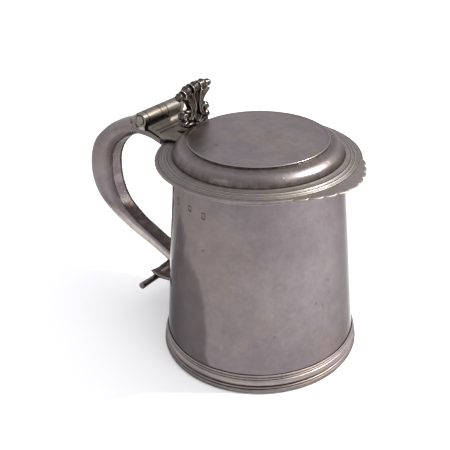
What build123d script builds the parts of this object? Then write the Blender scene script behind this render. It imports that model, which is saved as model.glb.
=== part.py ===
from build123d import *
from math import cos, radians, sin, sqrt
import os

# A lidded quart tankard. The origin is the centre of the resting plane, +Z is up,
# the handle stands towards -X and the lid turns about an axis along Y. Millimetres.
os.makedirs("parts", exist_ok=True)

# ---- driving dimensions: drum and foot
FOOT_R = 62.5            # greatest radius, at the bottom of the foot
FOOT_H = 13.2            # height of the foot moulding
DRUM_BOTTOM_R = 59.8     # outer radius of the drum where it leaves the foot
DRUM_TOP_R = 50.5        # outer radius of the drum at the lip
DRUM_TOP_Z = 126.6       # height of the lip
WALL = 1.8               # wall of the drum
LIP_BAND_H = 5.8         # height of the reeded band round the lip
FLOOR_Z = 5.0            # underside of the bottom plate, above the table
FLOOR_T = 2.4            # thickness of the bottom plate

# ---- driving dimensions: lid
FLANGE_R = 60.7          # outer radius of the flange
FLANGE_Z = 126.8         # underside of the flange
CAP_R = 50.4             # foot of the convex band, where the cap meets the flange
CAP_DROP = 8.5           # how far the foot of the band is below the plate
PLATE_R = 41.7           # radius of the flat top plate
PLATE_Z = 139.4          # top of the flat plate
SHEET = 1.6              # wall of the raised cap
BEZEL_DEPTH = 5.2        # how far the bezel reaches into the drum
PEAK_TURN = -4.0         # the serrated peak is set a little off the handle's line, degrees
TOOTH_STEP = 7.2         # angle between two notches of the peak, degrees

# ---- driving dimensions: hinge
HINGE_X = -76.5          # hinge axis
HINGE_Z = 138.0
BARREL_R = 4.7           # outer radius of the knuckles
BARREL_HALF = 18.2       # half the length of the barrel
PIN_R = 2.8
PIN_CLEARANCE = 0.05     # radial clearance of the pin in the lid's knuckles
KNUCKLE_MID = 2.7        # half the length of the handle's middle knuckle
KNUCKLE_END = 14.5       # where the handle's outer knuckles begin
KNUCKLE_GAP = 0.12       # end gap between neighbouring knuckles

# ---- driving dimensions: handle
SHELL_WALL = 1.5         # wall of the hollow handle
TERMINAL_HALF = 9.7      # half the width of the flared terminal at its lip
BAR_R = 2.4              # cross bar under the terminal's lip
BAR_HALF = 24.0
BAR_X = -83.4
BAR_Z = 16.6
STRIP_T = 1.4            # flat strip that closes the handle's inner side
SOCKET_HALF = 15.0       # half the width of the upper socket
SCOOP_R = 24.0           # hollow across the terminal

# ---- driving dimensions: thumbpiece
THUMB_X = -46.8          # plane of the thumbpiece
THUMB_T = 3.6            # its thickness


def drum_radius(z):
    """Outer radius of the tapered drum at a height."""
    share = (z - FOOT_H) / (DRUM_TOP_Z - FOOT_H)
    return DRUM_BOTTOM_R + share * (DRUM_TOP_R - DRUM_BOTTOM_R)


def finish(piece, name):
    """Give a finished piece its label and write it."""
    piece.part.label = name
    export_step(piece.part, "parts/" + name + ".step")


# ================= drum =================
with BuildPart() as drum:
    with BuildSketch(Plane.XZ):
        with BuildLine():
            Polyline(
                (drum_radius(FLOOR_Z) - WALL, FLOOR_Z),
                (drum_radius(FLOOR_Z), FLOOR_Z),
                (DRUM_TOP_R, DRUM_TOP_Z),
                (DRUM_TOP_R - WALL, DRUM_TOP_Z),
                close=True,
            )
        make_face()
    revolve(axis=Axis.Z)
    lip_edges = drum.edges().group_by(Axis.Z)[-1]
    fillet(lip_edges.sort_by(SortBy.LENGTH)[0], radius=0.6)
finish(drum, "drum")

# The bottom plate is a shallow dome let into the drum, clear of the table.
with BuildPart() as bottom_plate:
    plate_r = drum_radius(FLOOR_Z) - WALL
    with BuildSketch(Plane.XZ):
        with BuildLine():
            low = Line((plate_r, FLOOR_Z), (plate_r - 3.0, FLOOR_Z))
            under = Spline(low @ 1, (plate_r / 2, FLOOR_Z + 1.7), (0, FLOOR_Z + 2.4), tangents=((-1, 0.1), (-1, 0)))
            middle = Line(under @ 1, (0, FLOOR_Z + 2.4 + FLOOR_T))
            over = Spline(
                middle @ 1,
                (plate_r / 2, FLOOR_Z + 1.7 + FLOOR_T),
                (plate_r - 3.0, FLOOR_Z + FLOOR_T),
                tangents=((1, 0), (1, -0.1)),
            )
            top = Line(over @ 1, (drum_radius(FLOOR_Z + FLOOR_T) - WALL, FLOOR_Z + FLOOR_T))
            Line(top @ 1, low @ 0)
        make_face()
    revolve(axis=Axis.Z)
finish(bottom_plate, "bottom_plate")

# ================= foot moulding =================
# From the table up: a plain rounded foot, a fillet and groove, a broad ovolo,
# then two fine reeds against the drum.
FOOT_PROFILE_TOP = 12.9
with BuildPart() as foot_moulding:
    with BuildSketch(Plane.XZ):
        with BuildLine():
            rest = Line((FOOT_R - 4.8, 0), (FOOT_R - 1.6, 0))
            toe = Line(rest @ 1, (FOOT_R - 0.7, 0.5))
            belly = ThreePointArc(toe @ 1, (FOOT_R, 2.3), (FOOT_R - 0.5, 4.1))
            shelf = Line(belly @ 1, (FOOT_R - 1.5, 4.5))
            groove = ThreePointArc(shelf @ 1, (FOOT_R - 1.85, 4.85), (FOOT_R - 1.5, 5.2))
            fillet_up = ThreePointArc(groove @ 1, (FOOT_R - 0.95, 5.65), (FOOT_R - 1.45, 6.1))
            step = Line(fillet_up @ 1, (FOOT_R - 1.75, 6.25))
            ovolo = ThreePointArc(step @ 1, (FOOT_R - 1.05, 8.0), (FOOT_R - 1.95, 9.75))
            quirk = Line(ovolo @ 1, (FOOT_R - 2.3, 9.95))
            reed_a = ThreePointArc(quirk @ 1, (FOOT_R - 1.75, 10.6), (FOOT_R - 2.35, 11.25))
            reed_b = ThreePointArc(reed_a @ 1, (FOOT_R - 1.85, 11.9), (FOOT_R - 2.45, 12.6))
            shoulder = Line(reed_b @ 1, (drum_radius(FOOT_PROFILE_TOP), FOOT_PROFILE_TOP))
            back = Line(shoulder @ 1, (drum_radius(FLOOR_Z), FLOOR_Z))
            ledge = Line(back @ 1, (drum_radius(FLOOR_Z) - WALL, FLOOR_Z))
            Line(ledge @ 1, rest @ 0)
        make_face()
    revolve(axis=Axis.Z)
finish(foot_moulding, "foot_moulding")

# ================= reeded band round the lip =================
# Four reeds, each a little prouder than the one below it.
REED_CRESTS = (0.45, 0.75, 0.95, 1.35)     # how far each reed stands out from the drum
QUIRK_FIRST = 0.12                         # how far the first groove stands out
QUIRK_STEP = 0.16                          # and how much more each next groove does

with BuildPart() as lip_band:
    band_low = DRUM_TOP_Z - LIP_BAND_H
    reed_h = LIP_BAND_H / len(REED_CRESTS)
    with BuildSketch(Plane.XZ):
        with BuildLine():
            start = (drum_radius(band_low), band_low)
            groove = start
            for index, crest in enumerate(REED_CRESTS):
                z_next = band_low + (index + 1) * reed_h
                z_mid = z_next - reed_h / 2
                next_groove = (drum_radius(z_next) + QUIRK_FIRST + QUIRK_STEP * index, z_next)
                ThreePointArc(groove, (drum_radius(z_mid) + crest, z_mid), next_groove)
                groove = next_groove
            Line(groove, (DRUM_TOP_R, DRUM_TOP_Z))
            Line((DRUM_TOP_R, DRUM_TOP_Z), start)
        make_face()
    revolve(axis=Axis.Z)
finish(lip_band, "lip_band")

# ================= lid: raised cap =================
# The flat plate has a raised wire edge, a dark quirk under it and then a broad
# convex band that runs down to the flange.
with BuildPart() as lid_cap:
    skirt_z = FLANGE_Z + 0.6
    with BuildSketch(Plane.XZ):
        with BuildLine():
            flat = Line((0, PLATE_Z - 0.5), (PLATE_R - 2.0, PLATE_Z - 0.5))
            wire_in = ThreePointArc(flat @ 1, (PLATE_R - 1.3, PLATE_Z - 0.05), (PLATE_R - 0.7, PLATE_Z))
            wire_out = ThreePointArc(wire_in @ 1, (PLATE_R, PLATE_Z - 0.6), (PLATE_R - 0.5, PLATE_Z - 1.3))
            neck = ThreePointArc(wire_out @ 1, (PLATE_R - 0.9, PLATE_Z - 2.0), (PLATE_R - 0.3, PLATE_Z - 2.6))
            ledge = Line(neck @ 1, (PLATE_R + 1.2, PLATE_Z - 3.0))
            band = Spline(
                ledge @ 1,
                (PLATE_R + 4.4, PLATE_Z - 3.7),
                (PLATE_R + 7.2, PLATE_Z - 5.6),
                (CAP_R, PLATE_Z - CAP_DROP),
                tangents=((1, 0.12), (-0.05, -1)),
            )
            outside = Line(band @ 1, (CAP_R, skirt_z))
            hem = Line(outside @ 1, (CAP_R - SHEET, skirt_z))
            inside = Line(hem @ 1, (CAP_R - SHEET, PLATE_Z - 8.0))
            hollow = Spline(
                inside @ 1,
                (PLATE_R + 5.9, PLATE_Z - 6.3),
                (PLATE_R + 3.4, PLATE_Z - 5.1),
                (PLATE_R - 0.6, PLATE_Z - 4.4),
                tangents=((0.0, 1), (-1, 0.1)),
            )
            riser = Line(hollow @ 1, (PLATE_R - 2.6, PLATE_Z - 0.5 - SHEET))
            ceiling = Line(riser @ 1, (0, PLATE_Z - 0.5 - SHEET))
            Line(ceiling @ 1, flat @ 0)
        make_face()
    revolve(axis=Axis.Z)
finish(lid_cap, "lid_cap")


# ================= lid: flange with the serrated peak =================
NOTCH_R = (61.7, 63.7, 65.2, 66.7, 66.7, 65.2, 63.7, 61.7)     # how far out each notch is
PEAK_HALF = 4.6 * TOOTH_STEP       # half the angle that the peak spans
PEAK_T = 1.25                      # thickness of the peak
TOOTH_BULGE = 1.5                  # how far a tooth's crown stands out from its chord


def polar(radius, angle):
    """A point on the plan, from its radius and its angle in degrees off the peak's middle."""
    turn = radians(angle + PEAK_TURN)
    return (radius * cos(turn), radius * sin(turn))


with BuildPart() as lid_flange:
    top_z = PLATE_Z - CAP_DROP
    with BuildSketch(Plane.XZ):
        with BuildLine():
            foot = Line((CAP_R, FLANGE_Z), (CAP_R, top_z - 0.55))
            slope = Spline(foot @ 1, (52.6, 129.75), (54.9, 129.35), tangents=((1, -0.2), (1, -0.1)))
            reed_1 = ThreePointArc(slope @ 1, (55.45, 129.6), (56.0, 129.2))
            reed_2 = ThreePointArc(reed_1 @ 1, (56.5, 129.4), (57.0, 129.0))
            reed_3 = ThreePointArc(reed_2 @ 1, (57.5, 129.15), (58.0, 128.75))
            brim = Line(reed_3 @ 1, (FLANGE_R - 0.5, 128.1))
            edge = ThreePointArc(brim @ 1, (FLANGE_R, 127.5), (FLANGE_R - 0.4, FLANGE_Z))
            Line(edge @ 1, foot @ 0)
        make_face()
    revolve(axis=Axis.Z)
    # the peak: a thin plate that grows out of the brim, with pointed notches
    with BuildSketch(Plane.XY.offset(FLANGE_Z)):
        with BuildLine():
            inner = FLANGE_R - 2.0
            rim = FLANGE_R - 0.5
            chain = [polar(rim, -PEAK_HALF)]
            for index, radius in enumerate(NOTCH_R):
                chain.append(polar(radius, (index - 3.5) * TOOTH_STEP))
            chain.append(polar(rim, PEAK_HALF))
            Line(polar(inner, -PEAK_HALF), chain[0])
            for here, there in zip(chain[:-1], chain[1:]):
                mid_x = (here[0] + there[0]) / 2
                mid_y = (here[1] + there[1]) / 2
                lift = 1.0 + TOOTH_BULGE / sqrt(mid_x**2 + mid_y**2)
                ThreePointArc(here, (mid_x * lift, mid_y * lift), there)
            Line(chain[-1], polar(inner, PEAK_HALF))
            ThreePointArc(polar(inner, PEAK_HALF), polar(inner, 0), polar(inner, -PEAK_HALF))
        make_face()
    extrude(amount=PEAK_T)
finish(lid_flange, "lid_flange")

# ================= lid: bezel that drops inside the lip =================
with BuildPart() as lid_bezel:
    bezel_r = DRUM_TOP_R - WALL - 0.5
    with BuildSketch(Plane.XZ):
        with BuildLine():
            Polyline(
                (bezel_r, DRUM_TOP_Z),
                (CAP_R - SHEET, FLANGE_Z + 0.6),
                (CAP_R - SHEET, FLANGE_Z + 2.6),
                (bezel_r - 1.4, FLANGE_Z + 2.6),
                (bezel_r - 2.7, DRUM_TOP_Z - BEZEL_DEPTH),
                (bezel_r - 1.5, DRUM_TOP_Z - BEZEL_DEPTH),
                close=True,
            )
        make_face()
    revolve(axis=Axis.Z)
finish(lid_bezel, "lid_bezel")


# ================= handle =================
def handle_section(inner, crown, half, half_inner, square, wall=0.0, low=0.0):
    """Closed section of the handle: flat on the inner side, crowned on the outer side.

    inner and crown are the (rho, z) ends of the section's middle line, half is its greatest
    half width, square is 2 for an oval crown and more for a squarer one, wall shrinks it,
    and low is the height of its flat side over the handle's inner side.
    """
    depth = sqrt((crown[0] - inner[0]) ** 2 + (crown[1] - inner[1]) ** 2)
    along = Vector(-(crown[0] - inner[0]) / depth, 0, (crown[1] - inner[1]) / depth)
    plane = Plane(
        origin=(-inner[0], 0, inner[1]),
        x_dir=(0, 1, 0),
        z_dir=Vector(0, 1, 0).cross(along),
    )
    w = half - wall
    d = depth - wall
    widest = 0.36 * depth
    edge = half_inner - wall
    points = [(edge, low)]
    for step in range(0, 9):
        turn = radians(90 * step / 8)
        x = w * abs(cos(turn)) ** (2 / square)
        y = widest + (d - widest) * abs(sin(turn)) ** (2 / square)
        points.append((x, y))
    points[-1] = (0.0, d)
    mirrored = [(-x, y) for x, y in reversed(points[:-1])]
    with BuildSketch(plane, mode=Mode.PRIVATE) as section:
        with BuildLine():
            Spline(*(points + mirrored))
            Line((-edge, low), (edge, low))
        make_face()
    return section.sketch


# middle line stations from the hinge to the lower joint:
# inner (rho, z), crown (rho, z), half width, half width of the flat, squareness
STATIONS = (
    ((61.2, 124.7), (61.2, 129.8), 18.2, 16.8, 6.0),
    ((69.2, 127.0), (69.0, 132.2), 18.2, 16.8, 6.0),
    ((77.5, 127.4), (78.0, 132.9), 17.8, 16.2, 5.0),
    ((85.8, 124.6), (88.0, 132.2), 14.4, 12.2, 3.4),
    ((95.2, 120.1), (99.6, 130.0), 10.9, 8.6, 2.5),
    ((104.2, 115.2), (111.2, 125.7), 8.9, 6.6, 2.2),
    ((113.6, 107.6), (125.2, 117.1), 8.0, 5.6, 2.1),
    ((119.2, 97.8), (137.8, 104.4), 7.8, 5.3, 2.1),
    ((120.9, 86.5), (143.9, 87.4), 7.8, 5.3, 2.1),
    ((119.6, 74.2), (142.6, 70.8), 7.7, 5.3, 2.1),
    ((114.0, 63.6), (133.4, 57.6), 7.4, 5.2, 2.1),
    ((102.6, 54.0), (114.0, 45.8), 7.0, 5.2, 2.2),
    ((89.4, 47.2), (95.8, 38.6), 6.6, 5.2, 2.2),
    ((77.0, 41.2), (82.2, 33.2), 6.3, 5.2, 2.3),
    ((66.0, 35.4), (70.6, 28.0), 6.2, 5.2, 2.4),
    ((55.0, 29.6), (58.6, 22.8), 6.2, 5.2, 2.4),
)
CAVITY = STATIONS[4:14]


# the whole outline of the handle, before it is hollowed and parted
with BuildPart() as handle_outline:
    for inner, crown, half, flat, square in STATIONS:
        add(handle_section(inner, crown, half, flat, square))
    loft()
    with Locations((0, 0, 70)):
        Cone(drum_radius(0), drum_radius(140), 140, mode=Mode.SUBTRACT)

with BuildPart() as cavity:
    for inner, crown, half, flat, square in CAVITY:
        add(handle_section(inner, crown, half, flat, square, SHELL_WALL, -1.5))
    loft()

# The shell is open along its inner side, where the flat strip closes it.
with BuildPart() as handle_shell:
    add(handle_outline.part)
    add(cavity.part, mode=Mode.SUBTRACT)
finish(handle_shell, "handle_shell")


# everything above the strip, wider than the cavity
with BuildPart() as above_strip:
    for inner, crown, half, flat, square in CAVITY:
        add(handle_section(inner, crown, half + 6.0, flat + 6.0, 6.0, 0.0, STRIP_T))
    loft()

with BuildPart() as handle_strip:
    add(handle_outline.part)
    add(cavity.part, mode=Mode.INTERSECT)
    add(above_strip.part, mode=Mode.SUBTRACT)
finish(handle_strip, "handle_strip")

# The upper socket carries the handle's upper end on the drum, under the flange.
with BuildPart() as upper_socket:
    with BuildSketch(Plane.XZ):
        with BuildLine():
            Polyline(
                (-61.2, 126.3),
                (-61.2, 124.9),
                (-57.0, 121.2),
                (-53.5, 115.8),
                (-50.0, 110.5),
                (-48.9, 126.3),
                close=True,
            )
        make_face()
    extrude(amount=SOCKET_HALF, both=True)
    with Locations((0, 0, 70)):
        Cone(drum_radius(0), drum_radius(140), 140, mode=Mode.SUBTRACT)
    add(lip_band.part, mode=Mode.SUBTRACT)
    add(handle_outline.part, mode=Mode.SUBTRACT)
finish(upper_socket, "upper_socket")

# ================= flared terminal below the handle =================
with BuildPart() as terminal:
    with BuildSketch(Plane.XZ):
        with BuildLine():
            crest = Line((-57.0, 29.6), (-61.5, 27.0))
            scoop = Spline(
                crest @ 1, (-65.0, 21.9), (-71.0, 19.7), (-79.0, 19.1), (-87.2, 20.6),
                tangents=((-0.35, -1), (-1, 0.3)),
            )
            lip = ThreePointArc(scoop @ 1, (-87.9, 19.9), (-87.4, 18.9))
            under = Spline(lip @ 1, (-84.2, 14.2), (-76.6, 14.9), (-68.7, 15.9), (-57.0, 15.4))
            Line(under @ 1, crest @ 0)
        make_face()
    extrude(amount=TERMINAL_HALF + 1, both=True)
    with BuildSketch(Plane.XY):
        with BuildLine():
            side = Spline(
                (-90.0, TERMINAL_HALF), (-79.0, TERMINAL_HALF - 0.2), (-68.0, 8.2), (-61.0, 6.6), (-55.0, 6.2)
            )
            across = Line(side @ 1, (-55.0, -6.2))
            mirrored = Spline(
                across @ 1, (-61.0, -6.6), (-68.0, -8.2), (-79.0, 0.2 - TERMINAL_HALF), (-90.0, -TERMINAL_HALF)
            )
            Line(mirrored @ 1, side @ 0)
        make_face()
    extrude(amount=40, mode=Mode.INTERSECT)
    # the scoop is hollow across its width too
    with BuildSketch(Plane.YZ.offset(-95)):
        with Locations((0, 19.4 + SCOOP_R - 2.1)):
            Circle(SCOOP_R)
    extrude(amount=33, mode=Mode.SUBTRACT)
    with Locations((0, 0, 70)):
        Cone(drum_radius(0), drum_radius(140), 140, mode=Mode.SUBTRACT)
    add(handle_outline.part, mode=Mode.SUBTRACT)
    with Locations(Location((BAR_X, 0, BAR_Z), (90, 0, 0))):
        Cylinder(BAR_R, 2 * BAR_HALF + 2, mode=Mode.SUBTRACT)
finish(terminal, "terminal")

# a round bar runs across under the terminal's lip and stands out on both sides
with BuildPart() as terminal_bar:
    with Locations(Location((BAR_X, 0, BAR_Z), (90, 0, 0))):
        Cylinder(BAR_R, 2 * BAR_HALF)
    fillet(terminal_bar.edges().filter_by(GeomType.CIRCLE), radius=0.9)
finish(terminal_bar, "terminal_bar")

# ================= hinge =================
def knuckle(first, last, foot):
    """A knuckle from y = first to y = last; foot is the outline of the lug that carries it."""
    with BuildPart(mode=Mode.PRIVATE) as piece:
        with BuildSketch(Plane.XZ.offset(-first)):
            with Locations((HINGE_X, HINGE_Z)):
                Circle(BARREL_R)
            with BuildLine():
                Polyline(*foot, close=True)
            make_face()
        extrude(amount=first - last)
    return piece


handle_lug = (
    (-80.6, 137.0), (-80.9, 131.0), (-72.9, 131.0), (-72.4, 136.3), (-76.5, 139.0),
)
lid_lug = (
    (-76.5, 142.4), (-73.2, 141.2), (-70.5, 137.2), (-70.5, 134.0), (-75.5, 134.0),
)

handle_spans = {
    "handle_knuckle_near": (-BARREL_HALF, -KNUCKLE_END),
    "handle_knuckle_middle": (-KNUCKLE_MID, KNUCKLE_MID),
    "handle_knuckle_far": (KNUCKLE_END, BARREL_HALF),
}
for name, (first, last) in handle_spans.items():
    with BuildPart() as handle_knuckle:
        add(knuckle(first, last, handle_lug).part)
        with Locations(Location((HINGE_X, 0, HINGE_Z), (90, 0, 0))):
            Cylinder(PIN_R, 3 * BARREL_HALF, mode=Mode.SUBTRACT)
        add(handle_outline.part, mode=Mode.SUBTRACT)
    finish(handle_knuckle, name)

lid_spans = {
    "lid_knuckle_near": (-KNUCKLE_END + KNUCKLE_GAP, -KNUCKLE_MID - KNUCKLE_GAP),
    "lid_knuckle_far": (KNUCKLE_MID + KNUCKLE_GAP, KNUCKLE_END - KNUCKLE_GAP),
}
for name, (first, last) in lid_spans.items():
    with BuildPart() as lid_knuckle:
        add(knuckle(first, last, lid_lug).part)
        with Locations(Location((HINGE_X, 0, HINGE_Z), (90, 0, 0))):
            Cylinder(PIN_R + PIN_CLEARANCE, 3 * BARREL_HALF, mode=Mode.SUBTRACT)
    finish(lid_knuckle, name)

with BuildPart() as hinge_pin:
    with Locations(Location((HINGE_X, 0, HINGE_Z), (90, 0, 0))):
        Cylinder(PIN_R, 2 * BARREL_HALF + 0.6)
    fillet(hinge_pin.edges().filter_by(GeomType.CIRCLE), radius=0.5)
finish(hinge_pin, "hinge_pin")

# A tapering drop runs from each end of the barrel down the handle's shoulder
# and ends in a bead.
DROP_SIDES = {"hinge_drop_near": -1, "hinge_drop_far": 1}
for name, side in DROP_SIDES.items():
    root = Vector(-80.0, side * 15.6, 133.7)
    tip = Vector(-94.0, side * 8.6, 130.6)
    run = tip - root
    with BuildPart() as hinge_drop:
        with Locations(Plane(origin=(root + tip) * 0.5, z_dir=run)):
            Cone(3.9, 0.9, run.length)
        with Locations(tip + run.normalized() * 0.9):
            Sphere(1.5)
        with Locations(Location((HINGE_X, 0, HINGE_Z), (90, 0, 0))):
            Cylinder(BARREL_R, 3 * BARREL_HALF, mode=Mode.SUBTRACT)
        with Locations(Location((HINGE_X, 0, HINGE_Z), (90, 0, 0))):
            Cylinder(BARREL_R + 0.5, 2 * KNUCKLE_END, mode=Mode.SUBTRACT)
        with Locations((HINGE_X + 6.0, 0, HINGE_Z)):
            Box(18.4, 60, 30, mode=Mode.SUBTRACT)
        add(handle_outline.part, mode=Mode.SUBTRACT)
        add(knuckle(*sorted((side * KNUCKLE_END, side * BARREL_HALF)), handle_lug).part, mode=Mode.SUBTRACT)
    finish(hinge_drop, name)

# ================= lid: stepped hinge plate =================
with BuildPart() as hinge_plate:
    with BuildSketch(Plane.XZ):
        with BuildLine():
            start = (-46.0, 132.4)
            Polyline(start, (-60.8, 132.9), (-61.6, 134.0), (-62.6, 134.1))
            hollow = ThreePointArc((-62.6, 134.1), (-65.0, 133.7), (-67.2, 134.7))
            crest = ThreePointArc(hollow @ 1, (-68.9, 135.9), (-70.5, 135.2))
            Polyline(
                crest @ 1, (-70.5, 133.5), (-66.0, 132.1), (-61.3, 130.4), (-60.6, 128.3), (-46.0, 128.6), start
            )
        make_face()
    extrude(amount=BARREL_HALF, both=True)
    with Locations((0, 0, 130)):
        Cylinder(CAP_R - SHEET / 2, 30, mode=Mode.SUBTRACT)
    add(lid_cap.part, mode=Mode.SUBTRACT)
    add(lid_flange.part, mode=Mode.SUBTRACT)
finish(hinge_plate, "hinge_plate")

# ================= thumbpiece =================
# A cast openwork scroll: a foot, two strands round a pointed opening, a waist,
# a fan of five scroll ends above it and a pair of volutes on each side below.
# Each scroll end is a disc (y, z, radius) that stands out from the plate on both faces.
FAN_ENDS = ((-13.4, 157.2, 2.9), (-6.9, 159.9, 3.2), (0.0, 160.7, 3.0), (6.9, 159.9, 3.2), (13.4, 157.2, 2.9))
VOLUTES = ((12.2, 145.2, 2.4), (9.3, 141.2, 2.7), (-12.2, 145.2, 2.4), (-9.3, 141.2, 2.7))
BOSS_T = 5.4             # thickness through a scroll end
BOSS_INSET = 0.5         # the raised part of a scroll end is this much smaller

with BuildPart() as thumbpiece:
    with BuildSketch(Plane.YZ.offset(THUMB_X - THUMB_T / 2)):
        with BuildLine():
            right = Spline(
                (6.4, 136.3), (4.9, 138.6), (5.5, 142.6), (4.6, 148.8), (7.6, 154.4), (13.4, 156.4),
            )
            right_tip = Line(right @ 1, (14.0, 158.0))
            roof = Spline(right_tip @ 1, (7.0, 160.9), (0.0, 161.8), (-7.0, 160.9), (-14.0, 158.0))
            left_tip = Line(roof @ 1, (-13.4, 156.4))
            left = Spline(
                left_tip @ 1, (-7.6, 154.4), (-4.6, 148.8), (-5.5, 142.6), (-4.9, 138.6), (-6.4, 136.3),
            )
            Line(left @ 1, right @ 0)
        make_face()
        with BuildLine():
            leaf = ThreePointArc((0, 147.4), (1.45, 143.6), (0, 139.6))
            ThreePointArc(leaf @ 1, (-1.45, 143.6), (0, 147.4))
        make_face(mode=Mode.SUBTRACT)
        for side in (-1, 1):
            with BuildLine():
                upper_arm = Spline((side * 4.0, 146.6), (side * 8.4, 147.6), (side * 12.2, 147.0))
                upper_end = Line(upper_arm @ 1, (side * 13.2, 144.8))
                upper_back = Spline(upper_end @ 1, (side * 9.4, 145.2), (side * 4.0, 143.2))
                Line(upper_back @ 1, upper_arm @ 0)
            make_face()
            with BuildLine():
                lower_arm = Spline((side * 4.0, 138.2), (side * 8.0, 138.2), (side * 11.2, 140.6))
                lower_end = Line(lower_arm @ 1, (side * 9.2, 142.9))
                lower_back = Spline(lower_end @ 1, (side * 6.8, 141.0), (side * 4.0, 140.8))
                Line(lower_back @ 1, lower_arm @ 0)
            make_face()
        for y, z, radius in FAN_ENDS + VOLUTES:
            with Locations((y, z)):
                Circle(radius)
    extrude(amount=THUMB_T)
    with BuildSketch(Plane.YZ.offset(THUMB_X - BOSS_T / 2)):
        for y, z, radius in FAN_ENDS + VOLUTES:
            with Locations((y, z)):
                Circle(radius - BOSS_INSET)
    extrude(amount=BOSS_T)
finish(thumbpiece, "thumbpiece")

# the foot that the thumbpiece stands in, run over the cap on to the hinge plate
with BuildPart() as thumb_foot:
    with BuildSketch(Plane.XZ):
        with BuildLine():
            Polyline((-43.6, 135.9), (-43.9, 137.0), (-49.6, 137.0), close=False)
            slope = ThreePointArc((-49.6, 137.0), (-51.6, 134.9), (-55.4, 133.1))
            Polyline(slope @ 1, (-55.4, 131.9), (-49.9, 131.0), (-48.0, 133.2), (-43.6, 135.9))
        make_face()
    extrude(amount=9.4, both=True)
    add(lid_cap.part, mode=Mode.SUBTRACT)
    add(hinge_plate.part, mode=Mode.SUBTRACT)
    add(thumbpiece.part, mode=Mode.SUBTRACT)
finish(thumb_foot, "thumb_foot")
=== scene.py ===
# %% [markdown]
# # A lidded tankard in old grey metal
# This notebook dresses a imported CAD model of a quart tankard. The CAD gives every size and every
# place. Here each piece gets a mesh with rounded arrises and slightly uneven, hand-made surfaces,
# and a metal finish that is dark where dirt lies and bright where hands rub it, with painted shade
# in corners and hollows and painted highlights in a few places.

# %% Load the frame and keep its box
import math

import bmesh
import bpy
from mathutils import Matrix, Vector, noise


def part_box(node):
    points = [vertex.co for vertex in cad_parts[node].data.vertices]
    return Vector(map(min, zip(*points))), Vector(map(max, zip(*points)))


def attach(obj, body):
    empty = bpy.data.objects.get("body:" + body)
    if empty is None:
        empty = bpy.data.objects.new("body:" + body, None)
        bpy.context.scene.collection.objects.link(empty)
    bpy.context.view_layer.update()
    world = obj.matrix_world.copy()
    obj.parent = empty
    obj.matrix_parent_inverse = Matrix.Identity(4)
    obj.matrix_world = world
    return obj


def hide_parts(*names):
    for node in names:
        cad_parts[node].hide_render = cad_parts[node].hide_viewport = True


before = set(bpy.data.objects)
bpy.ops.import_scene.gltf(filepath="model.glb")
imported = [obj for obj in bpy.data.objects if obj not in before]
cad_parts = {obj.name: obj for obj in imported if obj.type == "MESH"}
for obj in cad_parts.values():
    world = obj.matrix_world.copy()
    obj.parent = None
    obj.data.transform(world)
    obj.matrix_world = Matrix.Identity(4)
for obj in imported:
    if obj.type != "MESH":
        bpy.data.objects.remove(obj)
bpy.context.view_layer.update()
MM = 0.001

# %% [markdown]
# ## The sizes that the shapes are worked out from
# Every outline below is drawn in millimetres. The drum, the mouldings, the lid, the pin and the
# barrel follow radii and heights that are read off the CAD nodes' boxes. The handle, its tail, the
# drops, the plate at the hinge and the thumbpiece have places of their own, which have to be
# changed when the CAD changes.

# %% Driving sizes
def box_mm(node):
    """Lowest and highest corner of a CAD node, in millimetres."""
    low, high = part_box(node)
    return low / MM, high / MM


drum_low, drum_high = box_mm("drum")
FOOT_R = box_mm("foot_moulding")[1].y
LIP_Z = drum_high.z
FLOOR_Z = drum_low.z
DRUM_R = drum_high.y
TAPER = 0.0820
WALL = 1.8
FLANGE_Z = box_mm("lid_flange")[0].z
CAP_R = 50.4
PLATE_Z = box_mm("lid_cap")[1].z
PLATE_R = 41.7
pin_low, pin_high = box_mm("hinge_pin")
HINGE = Vector(((pin_low.x + pin_high.x) / 2, 0.0, (pin_low.z + pin_high.z) / 2))
BARREL_R = box_mm("handle_knuckle_near")[1].z - HINGE.z
print("lip", round(LIP_Z, 1), "foot radius", round(FOOT_R, 1), "hinge", HINGE[:])


def drum_radius(z):
    """Outer radius of the tapered drum at a height."""
    return DRUM_R - TAPER * (z - FLOOR_Z)


# %% [markdown]
# ## Drawing an outline
# A turned piece starts as an outline. A small pen draws it with straight runs, arcs through a
# middle point and smooth curves, and keeps the points close together, so that a later rounding
# takes the sharpness off every corner, as years of polishing do.

# %% A pen for outlines
class Pen:
    """Draws an outline in a plane, in millimetres."""

    def __init__(self, x, y, step=0.35):
        self.points = [Vector((x, y))]
        self.step = step

    def line(self, *corners):
        for corner in corners:
            start, end = self.points[-1], Vector(corner)
            count = max(1, round((end - start).length / self.step))
            self.points += [start.lerp(end, i / count) for i in range(1, count + 1)]
        return self

    def arc(self, middle, end):
        """An arc from here through middle to end."""
        a, b, c = self.points[-1], Vector(middle), Vector(end)
        ab, ac = b - a, c - a
        turn = 2 * (ab.x * ac.y - ab.y * ac.x)
        ux = (ac.y * ab.length_squared - ab.y * ac.length_squared) / turn
        uy = (ab.x * ac.length_squared - ac.x * ab.length_squared) / turn
        centre = a + Vector((ux, uy))
        spokes = [p - centre for p in (a, b, c)]
        angles = [math.atan2(s.y, s.x) for s in spokes]
        way = 1 if turn > 0 else -1
        sweep = (way * (angles[2] - angles[0])) % (2 * math.pi)
        radius = spokes[0].length
        count = max(3, round(sweep * radius / self.step))
        for i in range(1, count + 1):
            angle = angles[0] + way * sweep * i / count
            self.points.append(centre + radius * Vector((math.cos(angle), math.sin(angle))))
        return self

    def curve(self, *through):
        """A smooth curve from here through the given points."""
        knots = [self.points[-1]] + [Vector(p) for p in through]
        self.points += spline(knots, self.step)[1:]
        return self


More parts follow.
